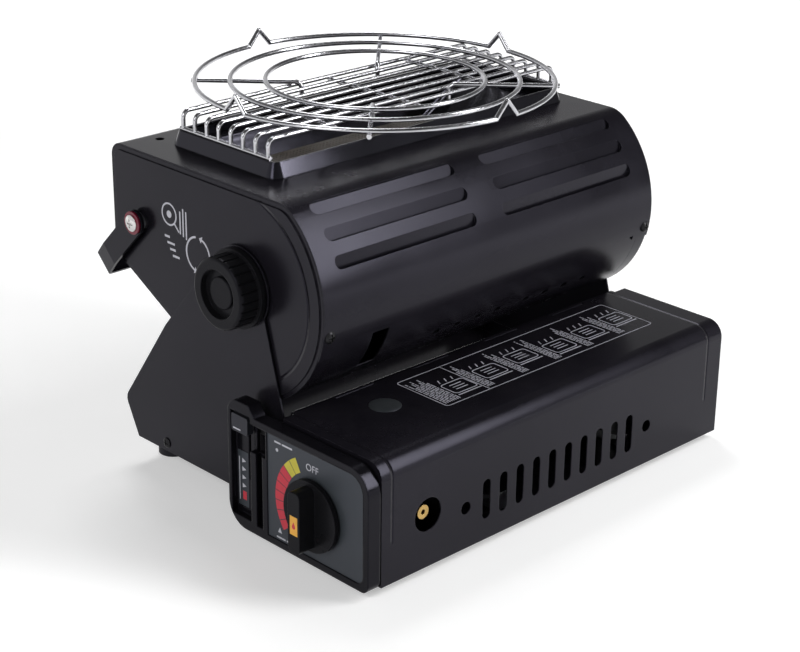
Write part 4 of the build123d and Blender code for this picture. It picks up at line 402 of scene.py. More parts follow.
def lid_paint():
    """Black paint over the upright pressed lines near the lid's ends."""
    low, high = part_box("cartridge_lid")

    def lines(tree):
        axes = add(tree, "ShaderNodeSeparateXYZ")
        tree.links.new(object_place(tree), axes.inputs[0])
        left = maths(tree, "ABSOLUTE", maths(tree, "SUBTRACT", axes.outputs["X"], low[0] + LID_BEAD_LEFT))
        right = maths(tree, "ABSOLUTE", maths(tree, "SUBTRACT", axes.outputs["X"], high[0] - LID_BEAD_RIGHT))
        bead = line_height(tree, maths(tree, "MINIMUM", left, right), sizes().bead_radius)
        return maths(tree, "MULTIPLY", bead, spread(tree, axes.outputs["Z"], LID_BEAD_FOOT, LID_BEAD_FOOT + 3 * MM))

    return sheet_paint("lid_paint", lines)


def end_paint():
    """Black paint over the round pressed line of the head's end plates."""
    pivot = middle("tilt_knob")

    def lines(tree):
        axes = add(tree, "ShaderNodeSeparateXYZ")
        tree.links.new(object_place(tree), axes.inputs[0])
        back = maths(tree, "POWER", maths(tree, "SUBTRACT", axes.outputs["Y"], pivot.y), 2.0)
        rise = maths(tree, "POWER", maths(tree, "SUBTRACT", axes.outputs["Z"], pivot.z), 2.0)
        reach = maths(tree, "SQRT", maths(tree, "ADD", back, rise))
        off_line = maths(tree, "ABSOLUTE", maths(tree, "SUBTRACT", reach, END_BEAD_RADIUS))
        front = spread(tree, axes.outputs["Y"], pivot.y - 22 * MM, pivot.y - 12 * MM, 1.0, 0.0)
        return maths(tree, "MULTIPLY", line_height(tree, off_line, sizes().bead_radius), front)

    return sheet_paint("end_paint", lines)


def bezel_black():
    return skinned("bezel_black", paint().bezel, 0.17, lift=1.3, grain=1500.0, depth=0.006,
                   worn=(0.05, 0.05, 0.055), wear=0.1, rounding=0.0012, dust=0.06, ior=1.24)


def knob_black():
    return skinned("knob_black", (0.0075, 0.0075, 0.0085), 0.3, lift=1.4, grain=5200.0, depth=0.02,
                   worn=(0.03, 0.03, 0.035), wear=0.1, rounding=0.0008, dust=0.06, ior=1.18)


def enamel_black():
    """Glossy enamel of the burner collar."""
    return skinned("enamel_black", (0.004, 0.004, 0.0045), 0.1, lift=1.3, grain=700.0, depth=0.012,
                   worn=(0.08, 0.08, 0.085), wear=0.2, rounding=0.001, dust=0.08, ior=1.45)


def label_green():
    return skinned("label_green", paint().label, 0.42, lift=1.15, grain=3200.0, depth=0.012, wear=0.0,
                   rounding=0.0001, dust=0.1)


def lever_grey():
    return skinned("lever_grey", paint().cap, 0.4, lift=1.2, grain=4200.0, depth=0.03,
                   worn=(0.12, 0.12, 0.125), wear=0.3)


def plug_grey():
    """Dull moulded plug in the lid top."""
    return skinned("plug_grey", (0.019, 0.022, 0.024), 0.45, lift=1.2, grain=3800.0, depth=0.03,
                   worn=(0.09, 0.09, 0.095), wear=0.2)


def tag_orange():
    return skinned("tag_orange", paint().tag, 0.35, lift=1.15, grain=1800.0, depth=0.01,
                   worn=(0.9, 0.55, 0.2), wear=0.25, rounding=0.0002, gloss=WHITE_GLOSS)


def collar_red():
    return skinned("collar_red", paint().collar, 0.28, lift=1.2, grain=1600.0, depth=0.01,
                   worn=(0.3, 0.06, 0.08), wear=0.2, ior=1.5, gloss=WHITE_GLOSS)


def rubber_black():
    return skinned("rubber_black", (0.012, 0.012, 0.0125), 0.72, lift=1.5, grain=3400.0, depth=0.06,
                   worn=(0.04, 0.04, 0.04), wear=0.3, dust=0.6)


def printed(name, color, roughness=0.5):
    """Ink that lies thinly on a panel and is a little uneven."""
    return skinned(name, color, roughness, lift=1.12, grain=2600.0, depth=0.01, wear=0.0, dust=0.1,
                   rounding=0.00005, drift=160.0)


def metal(name, color, roughness, *, lines=(1.0, 1.0, 1.0), line_scale=900.0, depth=0.01, tint=0.85,
          wear=0.3, worn=(0.9, 0.9, 0.9), rounding=0.0004):
    """Bare metal: fine lines or cast grain, stained patches and brighter edges."""
    material, tree, shader = new_finish(name, roughness, metallic=1.0)
    streaks = noise(tree, object_place(tree, lines), line_scale, 4.0, 0.6)
    skin = placed_group(tree, shared("Skin Grain", grain_group), drift_scale=38.0)
    edges = placed_group(tree, shared("Edge Wear", wear_group), amount=wear)
    darker = tuple(channel * tint for channel in color)
    stained = mixed(tree, skin.outputs["Drift"], tuple(color), darker)
    bright = mixed(tree, edges.outputs["Mask"], stained, worn)
    tree.links.new(bright, shader.inputs["Base Color"])
    rough = spread(tree, streaks, 0.3, 0.7, roughness * 0.75, min(1.0, roughness * 1.35))
    tree.links.new(rough, shader.inputs["Roughness"])
    lay_bump(tree, shader, streaks, 0.4, depth * MM, rounding)
    return material


def chrome_wire():
    return metal("chrome_wire", (0.6, 0.6, 0.63), 0.2, line_scale=600.0, depth=0.006, tint=0.75)


def screw_black():
    """Blackened steel of the small screws."""
    return metal("screw_black", (0.03, 0.03, 0.032), 0.42, line_scale=700.0, depth=0.008,
                 worn=(0.3, 0.3, 0.31), wear=0.25)


def plain_steel():
    return metal("plain_steel", (0.45, 0.46, 0.48), 0.38, line_scale=180.0, depth=0.012, tint=0.8)


def bright_steel():
    return metal("bright_steel", (0.7, 0.69, 0.68), 0.22, lines=(1.0, 14.0, 14.0), line_scale=160.0)


def brass():
    return metal("brass", (0.72, 0.48, 0.17), 0.25, line_scale=420.0, tint=0.7, worn=(0.95, 0.75, 0.4))


def cast_alloy():
    return metal("cast_alloy", (0.42, 0.42, 0.43), 0.5, line_scale=1500.0, depth=0.05, tint=0.85)


def ceramic():
    """Porous ceramic of the burner plate, coloured dark grey and brown as painted shade of its deep place inside
    the burner collar.
    """
    material, tree, shader = new_finish("ceramic", 0.85)
    skin = placed_group(tree, shared("Skin Grain", grain_group), grain_scale=1900.0, drift_scale=24.0)
    # painted shade: both colours are darker than the ceramic itself and stand for the shade inside the collar; the
    # drift between them and the flecks are random tone
    base = mixed(tree, skin.outputs["Drift"], (0.13, 0.12, 0.11), (0.06, 0.05, 0.042))
    flecked = mixed(tree, maths(tree, "MULTIPLY", skin.outputs["Flecks"], 0.5), base, (0.04, 0.032, 0.027))
    tree.links.new(flecked, shader.inputs["Base Color"])
    lay_bump(tree, shader, skin.outputs["Height"], 0.7, 0.06 * MM, 0.0001)
    return material


FINISHES = {
    "black_paint": black_paint, "bezel_black": bezel_black, "knob_black": knob_black,
    "label_green": label_green, "lever_grey": lever_grey, "tag_orange": tag_orange,
    "collar_red": collar_red, "chrome_wire": chrome_wire, "plain_steel": plain_steel,
    "bright_steel": bright_steel, "brass": brass, "cast_alloy": cast_alloy,
    "rubber_black": rubber_black, "ceramic": ceramic, "enamel_black": enamel_black,
    "screw_black": screw_black, "lid_paint": lid_paint, "end_paint": end_paint, "plug_grey": plug_grey,
}
OWN_FINISH = {
    "cartridge_lid": "lid_paint", "left_end_plate": "end_paint", "right_end_plate": "end_paint",
    "lock_lever": "screw_black",
}


def finish(name):
    """The named material, made the first time that it is asked for."""
    return bpy.data.materials.get(OWN_PREFIX + name) or FINISHES[name]()


def ink(name, color):
    return bpy.data.materials.get(OWN_PREFIX + name) or printed(name, color)


# ---- mesh helpers ----
def piece(name, mesh_maker, body, material, smooth=True):
    """A new piece from a bmesh function, riding on a body."""
    mesh = bpy.data.meshes.new(name)
    built = bmesh.new()
    mesh_maker(built)
    built.normal_update()
    built.to_mesh(mesh)
    built.free()
    mesh.materials.append(material)
    mesh.polygons.foreach_set("use_smooth", [smooth] * len(mesh.polygons))
    made = bpy.data.objects.new(name, mesh)
    bpy.context.scene.collection.objects.link(made)
    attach(made, body)
    return made


# ---- CAD finishes ----
def node_finishes():
    """Each node's material slot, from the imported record."""
    return {row["node"]: row["material_slot"] for row in frame["record"]["subparts"]}


class HEATER_OT_finishes(bpy.types.Operator):
    """Give every carried-over part its finish"""

    bl_idname = "heater.finishes"
    bl_label = "Part finishes"

    def execute(self, context):
        slots = node_finishes()
        for name, node in frame["nodes"].items():
            node.data.materials.clear()
            node.data.materials.append(finish(OWN_FINISH.get(name, slots[name])))
        return {"FINISHED"}


# ---- panels and printed marks ----
def panel_at(origin, across, up):
    """A matrix from (across, up, out) on a flat panel to the object's frame."""
    out = Vector(across).cross(Vector(up))
    turned = Matrix((Vector(across), Vector(up), out)).transposed()
    return Matrix.Translation(origin) @ turned.to_4x4()


def face_at(node, start, direction):
    """Where a straight line from a point first meets a CAD node."""
    met, place, _, _ = frame["nodes"][node].ray_cast(Vector(start), Vector(direction))
    if not met:
        raise RuntimeError(f"no face of {node} from {start}")
    return place


def left_panel(node, y, z):
    """Panel on the face of a node that looks to the left, at a height and depth."""
    return panel_at(face_at(node, (-1.0, y, z), (1.0, 0.0, 0.0)), (0.0, -1.0, 0.0), (0.0, 0.0, 1.0))


def middle(node):
    low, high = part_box(node)
    return (Vector(low) + Vector(high)) / 2


def bar(left, bottom, right, top):
    return [(left, bottom), (right, bottom), (right, top), (left, top)]


def arc(inner, outer, start, end, centre=(0.0, 0.0), steps=12):
    """Outline of an arc band, between two angles in degrees."""
    turns = [math.radians(start + (end - start) * index / steps) for index in range(steps + 1)]
    outside = [(centre[0] + outer * math.cos(t), centre[1] + outer * math.sin(t)) for t in turns]
    inside = [(centre[0] + inner * math.cos(t), centre[1] + inner * math.sin(t)) for t in reversed(turns)]
    return outside + inside


def ring(inner, outer, centre=(0.0, 0.0)):
    """A full ring in two halves."""
    return [arc(inner, outer, 0.0, 180.0, centre), arc(inner, outer, 180.0, 360.0, centre)]


def disc(radius, centre, steps=20):
    turns = [2 * math.pi * index / steps for index in range(steps)]
    return [(centre[0] + radius * math.cos(t), centre[1] + radius * math.sin(t)) for t in turns]


def line(start, end, width):
    """A straight stroke between two points."""
    along = (Vector(end) - Vector(start)).normalized() * width / 2
    side = Vector((-along.y, along.x))
    corners = (Vector(start) - side, Vector(end) - side, Vector(end) + side, Vector(start) + side)
    return [tuple(corner) for corner in corners]


def rounded_frame(width, height, corner, stroke):
    """Outline of a rectangle with round corners, its first corner at (0, 0)."""
    near, far, rise = corner, width - corner, height - corner
    shapes = [
        bar(near, 0.0, far, stroke), bar(near, height - stroke, far, height),
        bar(0.0, near, stroke, rise), bar(width - stroke, near, width, rise),
    ]
    turns = ((far, rise, 0.0), (near, rise, 90.0), (near, near, 180.0), (far, near, 270.0))
    shapes += [arc(corner - stroke, corner, start, start + 90.0, (x, y), 6) for x, y, start in turns]
    return shapes


def stamp(name, panel, shapes, body, material, lift=PRINT_LIFT):
    """Closed thin prints of outlines on a panel."""
    def build(built):
        for shape in shapes:
            low = [built.verts.new(panel @ Vector((u, v, -PRINT_SINK))) for u, v in shape]
            high = [built.verts.new(panel @ Vector((u, v, lift))) for u, v in shape]
            built.faces.new(high)
            built.faces.new(list(reversed(low)))
            for index, corner in enumerate(low):
                after = (index + 1) % len(low)
                built.faces.new((corner, low[after], high[after], high[index]))
    return piece(name, build, body, material, smooth=False)


def printed_word(name, word, size, panel, body, material):
    """A short word as a thin closed mesh, centred on its panel."""
    curve = bpy.data.curves.new(name, "FONT")
    curve.body = word
    curve.size = size
    curve.align_x = "CENTER"
    curve.align_y = "CENTER"
    curve.extrude = (PRINT_LIFT + PRINT_SINK) / 2
    maker = bpy.data.objects.new(name + "_curve", curve)
    bpy.context.scene.collection.objects.link(maker)
    mesh = bpy.data.meshes.new_from_object(maker.evaluated_get(bpy.context.evaluated_depsgraph_get()))
    bpy.data.objects.remove(maker)
    mesh.transform(panel @ Matrix.Translation((0.0, 0.0, (PRINT_LIFT - PRINT_SINK) / 2)))
    mesh.materials.clear()
    mesh.materials.append(material)
    return placed_mesh(name, mesh, body)


def placed_mesh(name, mesh, body):
    mesh.name = name
    made = bpy.data.objects.new(name, mesh)
    bpy.context.scene.collection.objects.link(made)
    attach(made, body)
    return made


class HEATER_OT_control_marks(bpy.types.Operator):
    """Print the flow scale and the plain marks of the control panel"""

    bl_idname = "heater.control_marks"
    bl_label = "Control marks"

    def execute(self, context):
        valve = middle("valve_spindle")
        panel = left_panel("control_label_plate", valve.y - SCALE_OUTER, valve.z)
        panel.translation.y = valve.y
        gap = sizes().scale_gap / SCALE_OUTER * 180.0 / math.pi
        step = (SCALE_LOW_END - SCALE_HIGH_END) / sizes().red_blocks
        starts = [SCALE_HIGH_END + step * index for index in range(sizes().red_blocks)]
        high = [arc(SCALE_INNER, SCALE_OUTER, start + gap, start + step - gap) for start in starts]
        stamp("flow_scale_high", panel, high, "base", ink("print_red", paint().warm))
        low = [
            arc(SCALE_INNER, SCALE_OUTER, SCALE_OFF_END + gap, SCALE_LIGHT_END - gap),
            arc(SCALE_INNER, SCALE_OUTER, SCALE_LIGHT_END + gap, SCALE_HIGH_END - gap),
        ]
        stamp("flow_scale_low", panel, low, "base", ink("print_yellow", paint().low))
        white = ink("print_white", paint().ink)
        word_place = panel @ Matrix.Translation((-1.8 * MM, 25.2 * MM, 0.0))
        printed_word("off_mark", "OFF", 5.6 * MM, word_place, "base", white)
        left = -29.3 * MM
        shapes = [disc(1.0 * MM, (left, 26.4 * MM))]
        shapes += [bar(left - 2 * MM, 30.3 * MM, left + 3 * MM, 31.3 * MM)]
        shapes += [bar(left + 4 * MM, 30.3 * MM, left + 12 * MM, 31.3 * MM)]
        shapes += [[(left, -21.8 * MM), (left + 3.2 * MM, -21.8 * MM), (left + 1.6 * MM, -18.6 * MM)]]
        shapes += [bar(left - 1 * MM, -25.2 * MM, left + 6 * MM, -24.2 * MM)]
        shapes += [bar(left + 7 * MM, -25.2 * MM, left + 11 * MM, -24.2 * MM)]
        stamp("control_marks", panel, shapes, "base", white)
        return {"FINISHED"}


class HEATER_OT_lever_marks(bpy.types.Operator):
    """Print the plain marks beside the lock lever and on its cap"""

    bl_idname = "heater.lever_marks"
    bl_label = "Lever marks"

    def execute(self, context):
        strip = middle("lever_label_strip")
        panel = left_panel("lever_label_strip", strip.y, strip.z)
        low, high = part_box("lever_label_strip")
        half = (high[2] - low[2]) / 2
        shapes = [bar(-3.4 * MM, -half + 3 * MM, -2.8 * MM, half - 4 * MM)]
        for step in range(4):
            base = half - (7 + 5 * step) * MM
            shapes.append([(-0.8 * MM, base), (2.4 * MM, base + 1.4 * MM), (-0.8 * MM, base + 2.8 * MM)])
        stamp("lever_marks", panel, shapes, "base", ink("print_white", paint().ink))
        block = [bar(-0.6 * MM, -half + 4 * MM, 2.4 * MM, -half + 9 * MM)]
        stamp("lever_block_mark", panel, block, "base", ink("print_red", paint().warm))
        cap = middle("lever_cap")
        cap_low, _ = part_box("lever_cap")
        cap_panel = left_panel("lever_cap", cap.y, cap.z)
        foot = cap_low[2] - cap.z
        edge = [bar(-5.2 * MM, foot + 1.3 * MM, 0.8 * MM, foot + 2.1 * MM)]
        stamp("cap_mark", cap_panel, edge, "lock", ink("print_white", paint().ink))
        return {"FINISHED"}


class HEATER_OT_slot_pocket(bpy.types.Operator):
    """Close the back of the finger slot with a shallow moulded pocket"""

    bl_idname = "heater.slot_pocket"
    bl_label = "Slot pocket"

    def execute(self, context):
        bezel_low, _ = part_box("control_bezel")
        left, right = bezel_low[0] + POCKET_FRONT, bezel_low[0] + POCKET_BACK
        start, low = bezel_low[1] + POCKET_START, bezel_low[2] + POCKET_FOOT

        def rim(built, inset, x):
            rows = bar(start + inset, low + inset, start + POCKET_WIDTH - inset, low + POCKET_HEIGHT - inset)
            return [built.verts.new((x, y, z)) for y, z in rows]

        def build(built):
            wall = POCKET_WALL
            rims = [rim(built, 0.0, right), rim(built, 0.0, left), rim(built, wall, left)]
            rims.append(rim(built, wall, right - wall))
            for first, second in zip(rims, rims[1:]):
                for index in range(4):
                    after = (index + 1) % 4
                    built.faces.new((first[index], first[after], second[after], second[index]))
            built.faces.new(rims[0])
            built.faces.new(list(reversed(rims[-1])))
            bmesh.ops.recalc_face_normals(built, faces=built.faces)

        piece("slot_pocket", build, "base", finish("bezel_black"), smooth=False)
        return {"FINISHED"}


class HEATER_OT_knob_mark(bpy.types.Operator):
    """Print a plain drop on the tag of the flow knob"""

    bl_idname = "heater.knob_mark"
    bl_label = "Knob mark"

    def execute(self, context):
        tag = middle("knob_tag")
        panel = left_panel("knob_tag", tag.y, tag.z)
        turns = [math.radians(-200.0 + 220.0 * index / 14) for index in range(15)]
        drop = [(1.3 * MM * math.cos(t), (1.3 * math.sin(t) - 0.6) * MM) for t in turns]
        drop.append((0.0, 2.3 * MM))
        red = ink("print_red", paint().warm)
        stamp("tag_mark", panel, [drop], "flow_valve", red, TAG_PRINT_LIFT)
        return {"FINISHED"}


def broken_line(x, start, end, width, phase):
    """A line of unequal dashes, like a row of small print."""
    shapes = []
    at = start
    index = phase
    while at < end - 1.2 * MM:
        reach = min(end, at + DASHES[index % len(DASHES)])
        shapes.append(bar(x, at, x + width, reach))
        at = reach + 0.7 * MM
        index += 1
    return shapes


def field_shapes(left, width, height, rows, phase):
    """Rows of dashes and a plain heater drawing in one field of the lid panel."""
    shapes = []
    for index in range(rows):
        end = height * (0.9, 0.74, 0.84)[(index + phase) % 3]
        shapes += broken_line(left + (1.3 + 1.5 * index) * MM, height * 0.08, end, 0.75 * MM, index + phase)
    start = left + (2.2 + 1.5 * rows) * MM
    reach = left + width - 1.2 * MM - start
    rise = height * 0.34
    foot = height * (0.2 + 0.06 * (phase % 3))
    stroke = 0.7 * MM
    for shape in rounded_frame(reach, rise, 2.4 * MM, stroke):
        shapes.append([(start + u, foot + v) for u, v in shape])
    for step in range(3):
        v = foot + rise * (0.3 + 0.2 * step)
        shapes.append(bar(start + reach * 0.25, v, start + reach * 0.75, v + stroke))
    shapes.append(bar(start, foot - 2.2 * MM, start + reach, foot - 1.3 * MM))
    for step in range(3):
        u = start + reach * (0.15 + 0.28 * step)
        shapes.append(line((u, foot + rise + 1.6 * MM), (u + 1.6 * MM, foot + rise + 5.2 * MM), stroke))
    return shapes


class HEATER_OT_lid_panel(bpy.types.Operator):
    """Print the outlined panel with plain bars on the lid, and set its round boss"""

    bl_idname = "heater.lid_panel"
    bl_label = "Lid panel and boss"

    def execute(self, context):
        low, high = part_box("cartridge_lid")
        corner = (low[0] + LID_PANEL_LEFT, low[1] + LID_PANEL_FRONT, 1.0)
        panel = panel_at(face_at("cartridge_lid", corner, (0.0, 0.0, -1.0)), (1.0, 0.0, 0.0), (0.0, 1.0, 0.0))
        stroke = sizes().line_width
        shapes = rounded_frame(LID_PANEL_LENGTH, LID_PANEL_DEPTH, 2.5 * MM, stroke)
        first = LID_PANEL_FIRST
        shapes.append(bar(first, stroke, first + stroke, LID_PANEL_DEPTH - stroke))
        shapes += field_shapes(0.8 * MM, first, LID_PANEL_DEPTH, 2 * sizes().bar_rows, 0)
        count = LID_PANEL_FIELDS
        width = (LID_PANEL_LENGTH - first - 2 * stroke) / count
        for index in range(count):
            left = first + stroke + index * width
            shapes += field_shapes(left, width, LID_PANEL_DEPTH, sizes().bar_rows, index + 1)
        stamp("lid_panel_print", panel, shapes, "lid", ink("print_grey", PANEL_INK))

        start = (low[0] + BOSS_LEFT, low[1] + BOSS_FRONT, 1.0)
        foot = face_at("cartridge_lid", start, (0.0, 0.0, -1.0))
        radius, height = sizes().boss_radius, sizes().boss_height
        profile = [(math.sin(t), math.cos(t)) for t in (math.radians(a) for a in (12, 30, 48, 66, 80, 90))]
        rows = [(radius * s, height * c) for s, c in profile] + [(radius, -PRINT_SINK)]

        def build(built):
            rings = []
            for reach, rise in rows:
                turns = [2 * math.pi * index / 40 for index in range(40)]
                points = [foot + Vector((reach * math.cos(t), reach * math.sin(t), rise)) for t in turns]
                rings.append([built.verts.new(point) for point in points])
            built.faces.new(rings[0])
            for upper, lower in zip(rings, rings[1:]):
                for index in range(40):
                    after = (index + 1) % 40
                    built.faces.new((lower[index], lower[after], upper[after], upper[index]))
            built.faces.new(list(reversed(rings[-1])))

        piece("lid_boss", build, "lid", finish("plug_grey"))
        return {"FINISHED"}


class HEATER_OT_side_marks(bpy.types.Operator):
    """Print the plain turn-the-knob drawing on the left end of the head"""

    bl_idname = "heater.side_marks"
    bl_label = "Side marks"

    def execute(self, context):
        pivot = middle("tilt_knob")
        head_low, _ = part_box("left_end_plate")
        panel = left_panel("left_end_plate", pivot.y + SIDE_MARK_BACK, pivot.z + SIDE_MARK_RISE)
        stroke = sizes().line_width
        shapes = ring(5.6 * MM, 6.6 * MM) + [disc(2.1 * MM, (0.0, 0.0))]
        shapes.append(line((4.6 * MM, -4.6 * MM), (8.4 * MM, -8.4 * MM), 1.1 * MM))
        for index, rise in enumerate((4.0, 6.0, 5.0)):
            left = (9.0 + 2.6 * index) * MM
            shapes.append(bar(left, (-9.0 - index) * MM, left + 1.1 * MM, rise * MM))
        for row in range(4):
            top = (-12.5 - 3.4 * row) * MM
            reach = (4.5, 6.5, 5.0, 6.0)[row] * MM
            start = (-4.5 + 2.2 * row) * MM
            shapes.append(bar(start, top - 1.3 * MM, start + reach, top))
        turn = (24.5 * MM, -17.0 * MM)
        shapes.append(arc(9.4 * MM, 10.6 * MM, -80.0, 70.0, turn, 20))
        shapes.append(arc(9.4 * MM, 10.6 * MM, 100.0, 250.0, turn, 20))
        for angle, way in ((70.0, 1.0), (250.0, 1.0)):
            tip = math.radians(angle + 14.0 * way)
            foot = math.radians(angle)
            point = (turn[0] + 10.0 * MM * math.cos(tip), turn[1] + 10.0 * MM * math.sin(tip))
            inner = (turn[0] + 7.8 * MM * math.cos(foot), turn[1] + 7.8 * MM * math.sin(foot))
            outer = (turn[0] + 12.2 * MM * math.cos(foot), turn[1] + 12.2 * MM * math.sin(foot))
            shapes.append([inner, outer, point])
        stamp("side_marks", panel, shapes, "head", ink("print_white", paint().ink))
        return {"FINISHED"}


# ---- repeated parts ----
def add_inputs(tree, rows):
    """Named number inputs of a geometry tree; returns their identifiers."""
    tree.interface.new_socket("Geometry", in_out="INPUT", socket_type="NodeSocketGeometry")
    found = {}
    for label, value in rows:
        kind = "NodeSocketInt" if isinstance(value, int) else "NodeSocketFloat"
        socket = tree.interface.new_socket(label, in_out="INPUT", socket_type=kind)
        socket.default_value = value
        found[label] = socket.identifier
    tree.interface.new_socket("Geometry", in_out="OUTPUT", socket_type="NodeSocketGeometry")
    return found


def vector_of(tree, *values):
    node = add(tree, "ShaderNodeCombineXYZ")
    for index, value in enumerate(values):
        if isinstance(value, (int, float)):
            node.inputs[index].default_value = value
        else:
            tree.links.new(value, node.inputs[index])
    return node.outputs[0]


def moved(tree, geometry, place):
    node = add(tree, "GeometryNodeTransform")
    tree.links.new(geometry, node.inputs["Geometry"])
    tree.links.new(place, node.inputs["Translation"])
    return node.outputs["Geometry"]


def cylinder(tree, radius, depth, sides):
    node = add(tree, "GeometryNodeMeshCylinder", inputs={"Vertices": sides})
    tree.links.new(radius, node.inputs["Radius"])
    tree.links.new(depth, node.inputs["Depth"])
    return node.outputs["Mesh"]


def cut(tree, operation, first, others):
    """A boolean of solids: first is None for intersect."""
    node = add(tree, "GeometryNodeMeshBoolean", {"operation": operation, "solver": "MANIFOLD"})
    if first is not None:
        tree.links.new(first, node.inputs["Mesh 1"])
    for other in others:
        tree.links.new(other, node.inputs["Mesh 2"])
    return node.outputs["Mesh"]


def close_tree(tree, geometry, material, output):
    """Every tree ends in real geometry with its material."""
    real = add(tree, "GeometryNodeRealizeInstances")
    coated = add(tree, "GeometryNodeSetMaterial", inputs={"Material": material})
    tree.links.new(geometry, real.inputs[0])
    tree.links.new(real.outputs[0], coated.inputs["Geometry"])
    tree.links.new(coated.outputs[0], output.inputs[0])


def baked(name, mesh, tree, values, identifiers):
    """The plain mesh that a tree makes from a starting mesh."""
    maker = bpy.data.objects.new(name + "_maker", mesh)
    bpy.context.scene.collection.objects.link(maker)
    modifier = maker.modifiers.new("Repeat", "NODES")
    modifier.node_group = tree
    for label, value in values.items():
        modifier[identifiers[label]] = value
    graph = bpy.context.evaluated_depsgraph_get()
    result = bpy.data.meshes.new_from_object(maker.evaluated_get(graph))
    maker.modifiers.remove(modifier)
    bpy.data.objects.remove(maker)
    return result


def screw_tree(material):
    """Pan-head screws with a cross recess, one on each point along its facing."""
    name = "Cross Screws " + material.name
    tree = bpy.data.node_groups.new(name, "GeometryNodeTree")
    found = add_inputs(tree, (
        ("Head Radius", 3.0 * MM), ("Head Height", 1.4 * MM), ("Shank Radius", 1.5 * MM),
        ("Shank Length", 6.0 * MM), ("Recess Length", 3.2 * MM), ("Recess Width", 0.7 * MM)))
    given = add(tree, "NodeGroupInput")
    output = add(tree, "NodeGroupOutput")
    radius, height = given.outputs["Head Radius"], given.outputs["Head Height"]
    disc_solid = cylinder(tree, radius, height, 32)
    crown = maths(tree, "MULTIPLY", height, 0.6)
    square = maths(tree, "ADD", maths(tree, "POWER", radius, 2.0), maths(tree, "POWER", crown, 2.0))
    ball_radius = maths(tree, "DIVIDE", square, maths(tree, "MULTIPLY", crown, 2.0))
    ball = add(tree, "GeometryNodeMeshUVSphere", inputs={"Segments": 40, "Rings": 48})
    tree.links.new(ball_radius, ball.inputs["Radius"])
    half = maths(tree, "MULTIPLY", height, 0.5)
    sunk = maths(tree, "SUBTRACT", half, ball_radius)
    dome = moved(tree, ball.outputs["Mesh"], vector_of(tree, 0.0, 0.0, sunk))
    head = cut(tree, "INTERSECT", None, (disc_solid, dome))
    length, width = given.outputs["Recess Length"], given.outputs["Recess Width"]
    arms = []
    for across, along in ((length, width), (width, length)):
        cube = add(tree, "GeometryNodeMeshCube")
        tree.links.new(vector_of(tree, across, along, height), cube.inputs["Size"])
        arms.append(moved(tree, cube.outputs["Mesh"], vector_of(tree, 0.0, 0.0, half)))
    slotted = cut(tree, "DIFFERENCE", head, arms)
    shank_length = given.outputs["Shank Length"]
    shank = cylinder(tree, given.outputs["Shank Radius"], shank_length, 16)
    drop = maths(tree, "MULTIPLY", maths(tree, "ADD", height, shank_length), -0.5)
    both = add(tree, "GeometryNodeJoinGeometry")
    tree.links.new(slotted, both.inputs[0])
    tree.links.new(moved(tree, shank, vector_of(tree, 0.0, 0.0, drop)), both.inputs[0])
    raised = moved(tree, both.outputs[0], vector_of(tree, 0.0, 0.0, half))
    facing = add(tree, "GeometryNodeInputNamedAttribute", {"data_type": "FLOAT_VECTOR"}, {"Name": "facing"})
    turn = add(tree, "FunctionNodeAlignRotationToVector", {"axis": "Z"})
    tree.links.new(facing.outputs["Attribute"], turn.inputs["Vector"])
    spread_out = add(tree, "GeometryNodeInstanceOnPoints")
    tree.links.new(given.outputs["Geometry"], spread_out.inputs["Points"])
    tree.links.new(raised, spread_out.inputs["Instance"])
    tree.links.new(turn.outputs["Rotation"], spread_out.inputs["Rotation"])
    close_tree(tree, spread_out.outputs["Instances"], material, output)
    return tree, found


def separate_solids(node):
    """The corners of each separate solid of a CAD node."""
    built = bmesh.new()
    built.from_mesh(frame["nodes"][node].data)
    bmesh.ops.remove_doubles(built, verts=built.verts, dist=0.002 * MM)
    waiting = set(built.verts)
    solids = []
    while waiting:
        group = [waiting.pop()]
        for vert in group:
            for edge in vert.link_edges:
                other = edge.other_vert(vert)
                if other in waiting:
                    waiting.remove(other)
                    group.append(other)
        solids.append([vert.co.copy() for vert in group])
    built.free()
    return solids


def screw_shape(points):
    """Seat, facing and sizes of one turned screw, from its corners."""
    centre = sum(points, Vector()) / len(points)
    best = None
    for axis in SCREW_AXES:
        along = [(point - centre).dot(axis) for point in points]
        out = [((point - centre) - axis * reach).length for point, reach in zip(points, along)]
        rounds = {round(value / MM, 1) for value in out}
        if best is None or len(rounds) < best[0]:
            best = (len(rounds), axis, along, out)
    _, axis, along, out = best
    widest = max(out)
    head = [reach for reach, wide in zip(along, out) if wide > 0.8 * widest]
    if sum(head) / len(head) < (max(along) + min(along)) / 2:
        axis = -axis
        along = [-reach for reach in along]
        head = [-reach for reach in head]
    seat = min(head)
    shank = [wide for reach, wide in zip(along, out) if reach < seat - 0.5 * MM]
    return {
        "seat": centre + axis * seat, "facing": axis, "Head Radius": widest,
        "Head Height": max(along) - seat, "Shank Radius": max(shank),
        "Shank Length": seat - min(along),
    }


def dress_screws(node, body, material, recess):
    """Cross-recess screws in place of a node's plain ones."""
    shapes = [screw_shape(points) for points in separate_solids(node)]
    mesh = bpy.data.meshes.new(node + "_seats")
    mesh.from_pydata([shape["seat"] for shape in shapes], [], [])
    facing = mesh.attributes.new("facing", "FLOAT_VECTOR", "POINT")
    for index, shape in enumerate(shapes):
        facing.data[index].vector = shape["facing"]
    tree, found = screw_tree(material)
    labels = ("Head Radius", "Head Height", "Shank Radius", "Shank Length")
    values = {label: shapes[0][label] for label in labels}
    values["Recess Length"] = values["Head Radius"] * recess
    values["Recess Width"] = values["Head Radius"] * 0.26
    made = placed_mesh(node + "_dressed", baked(node, mesh, tree, values, found), body)
    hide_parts(node)
    return made


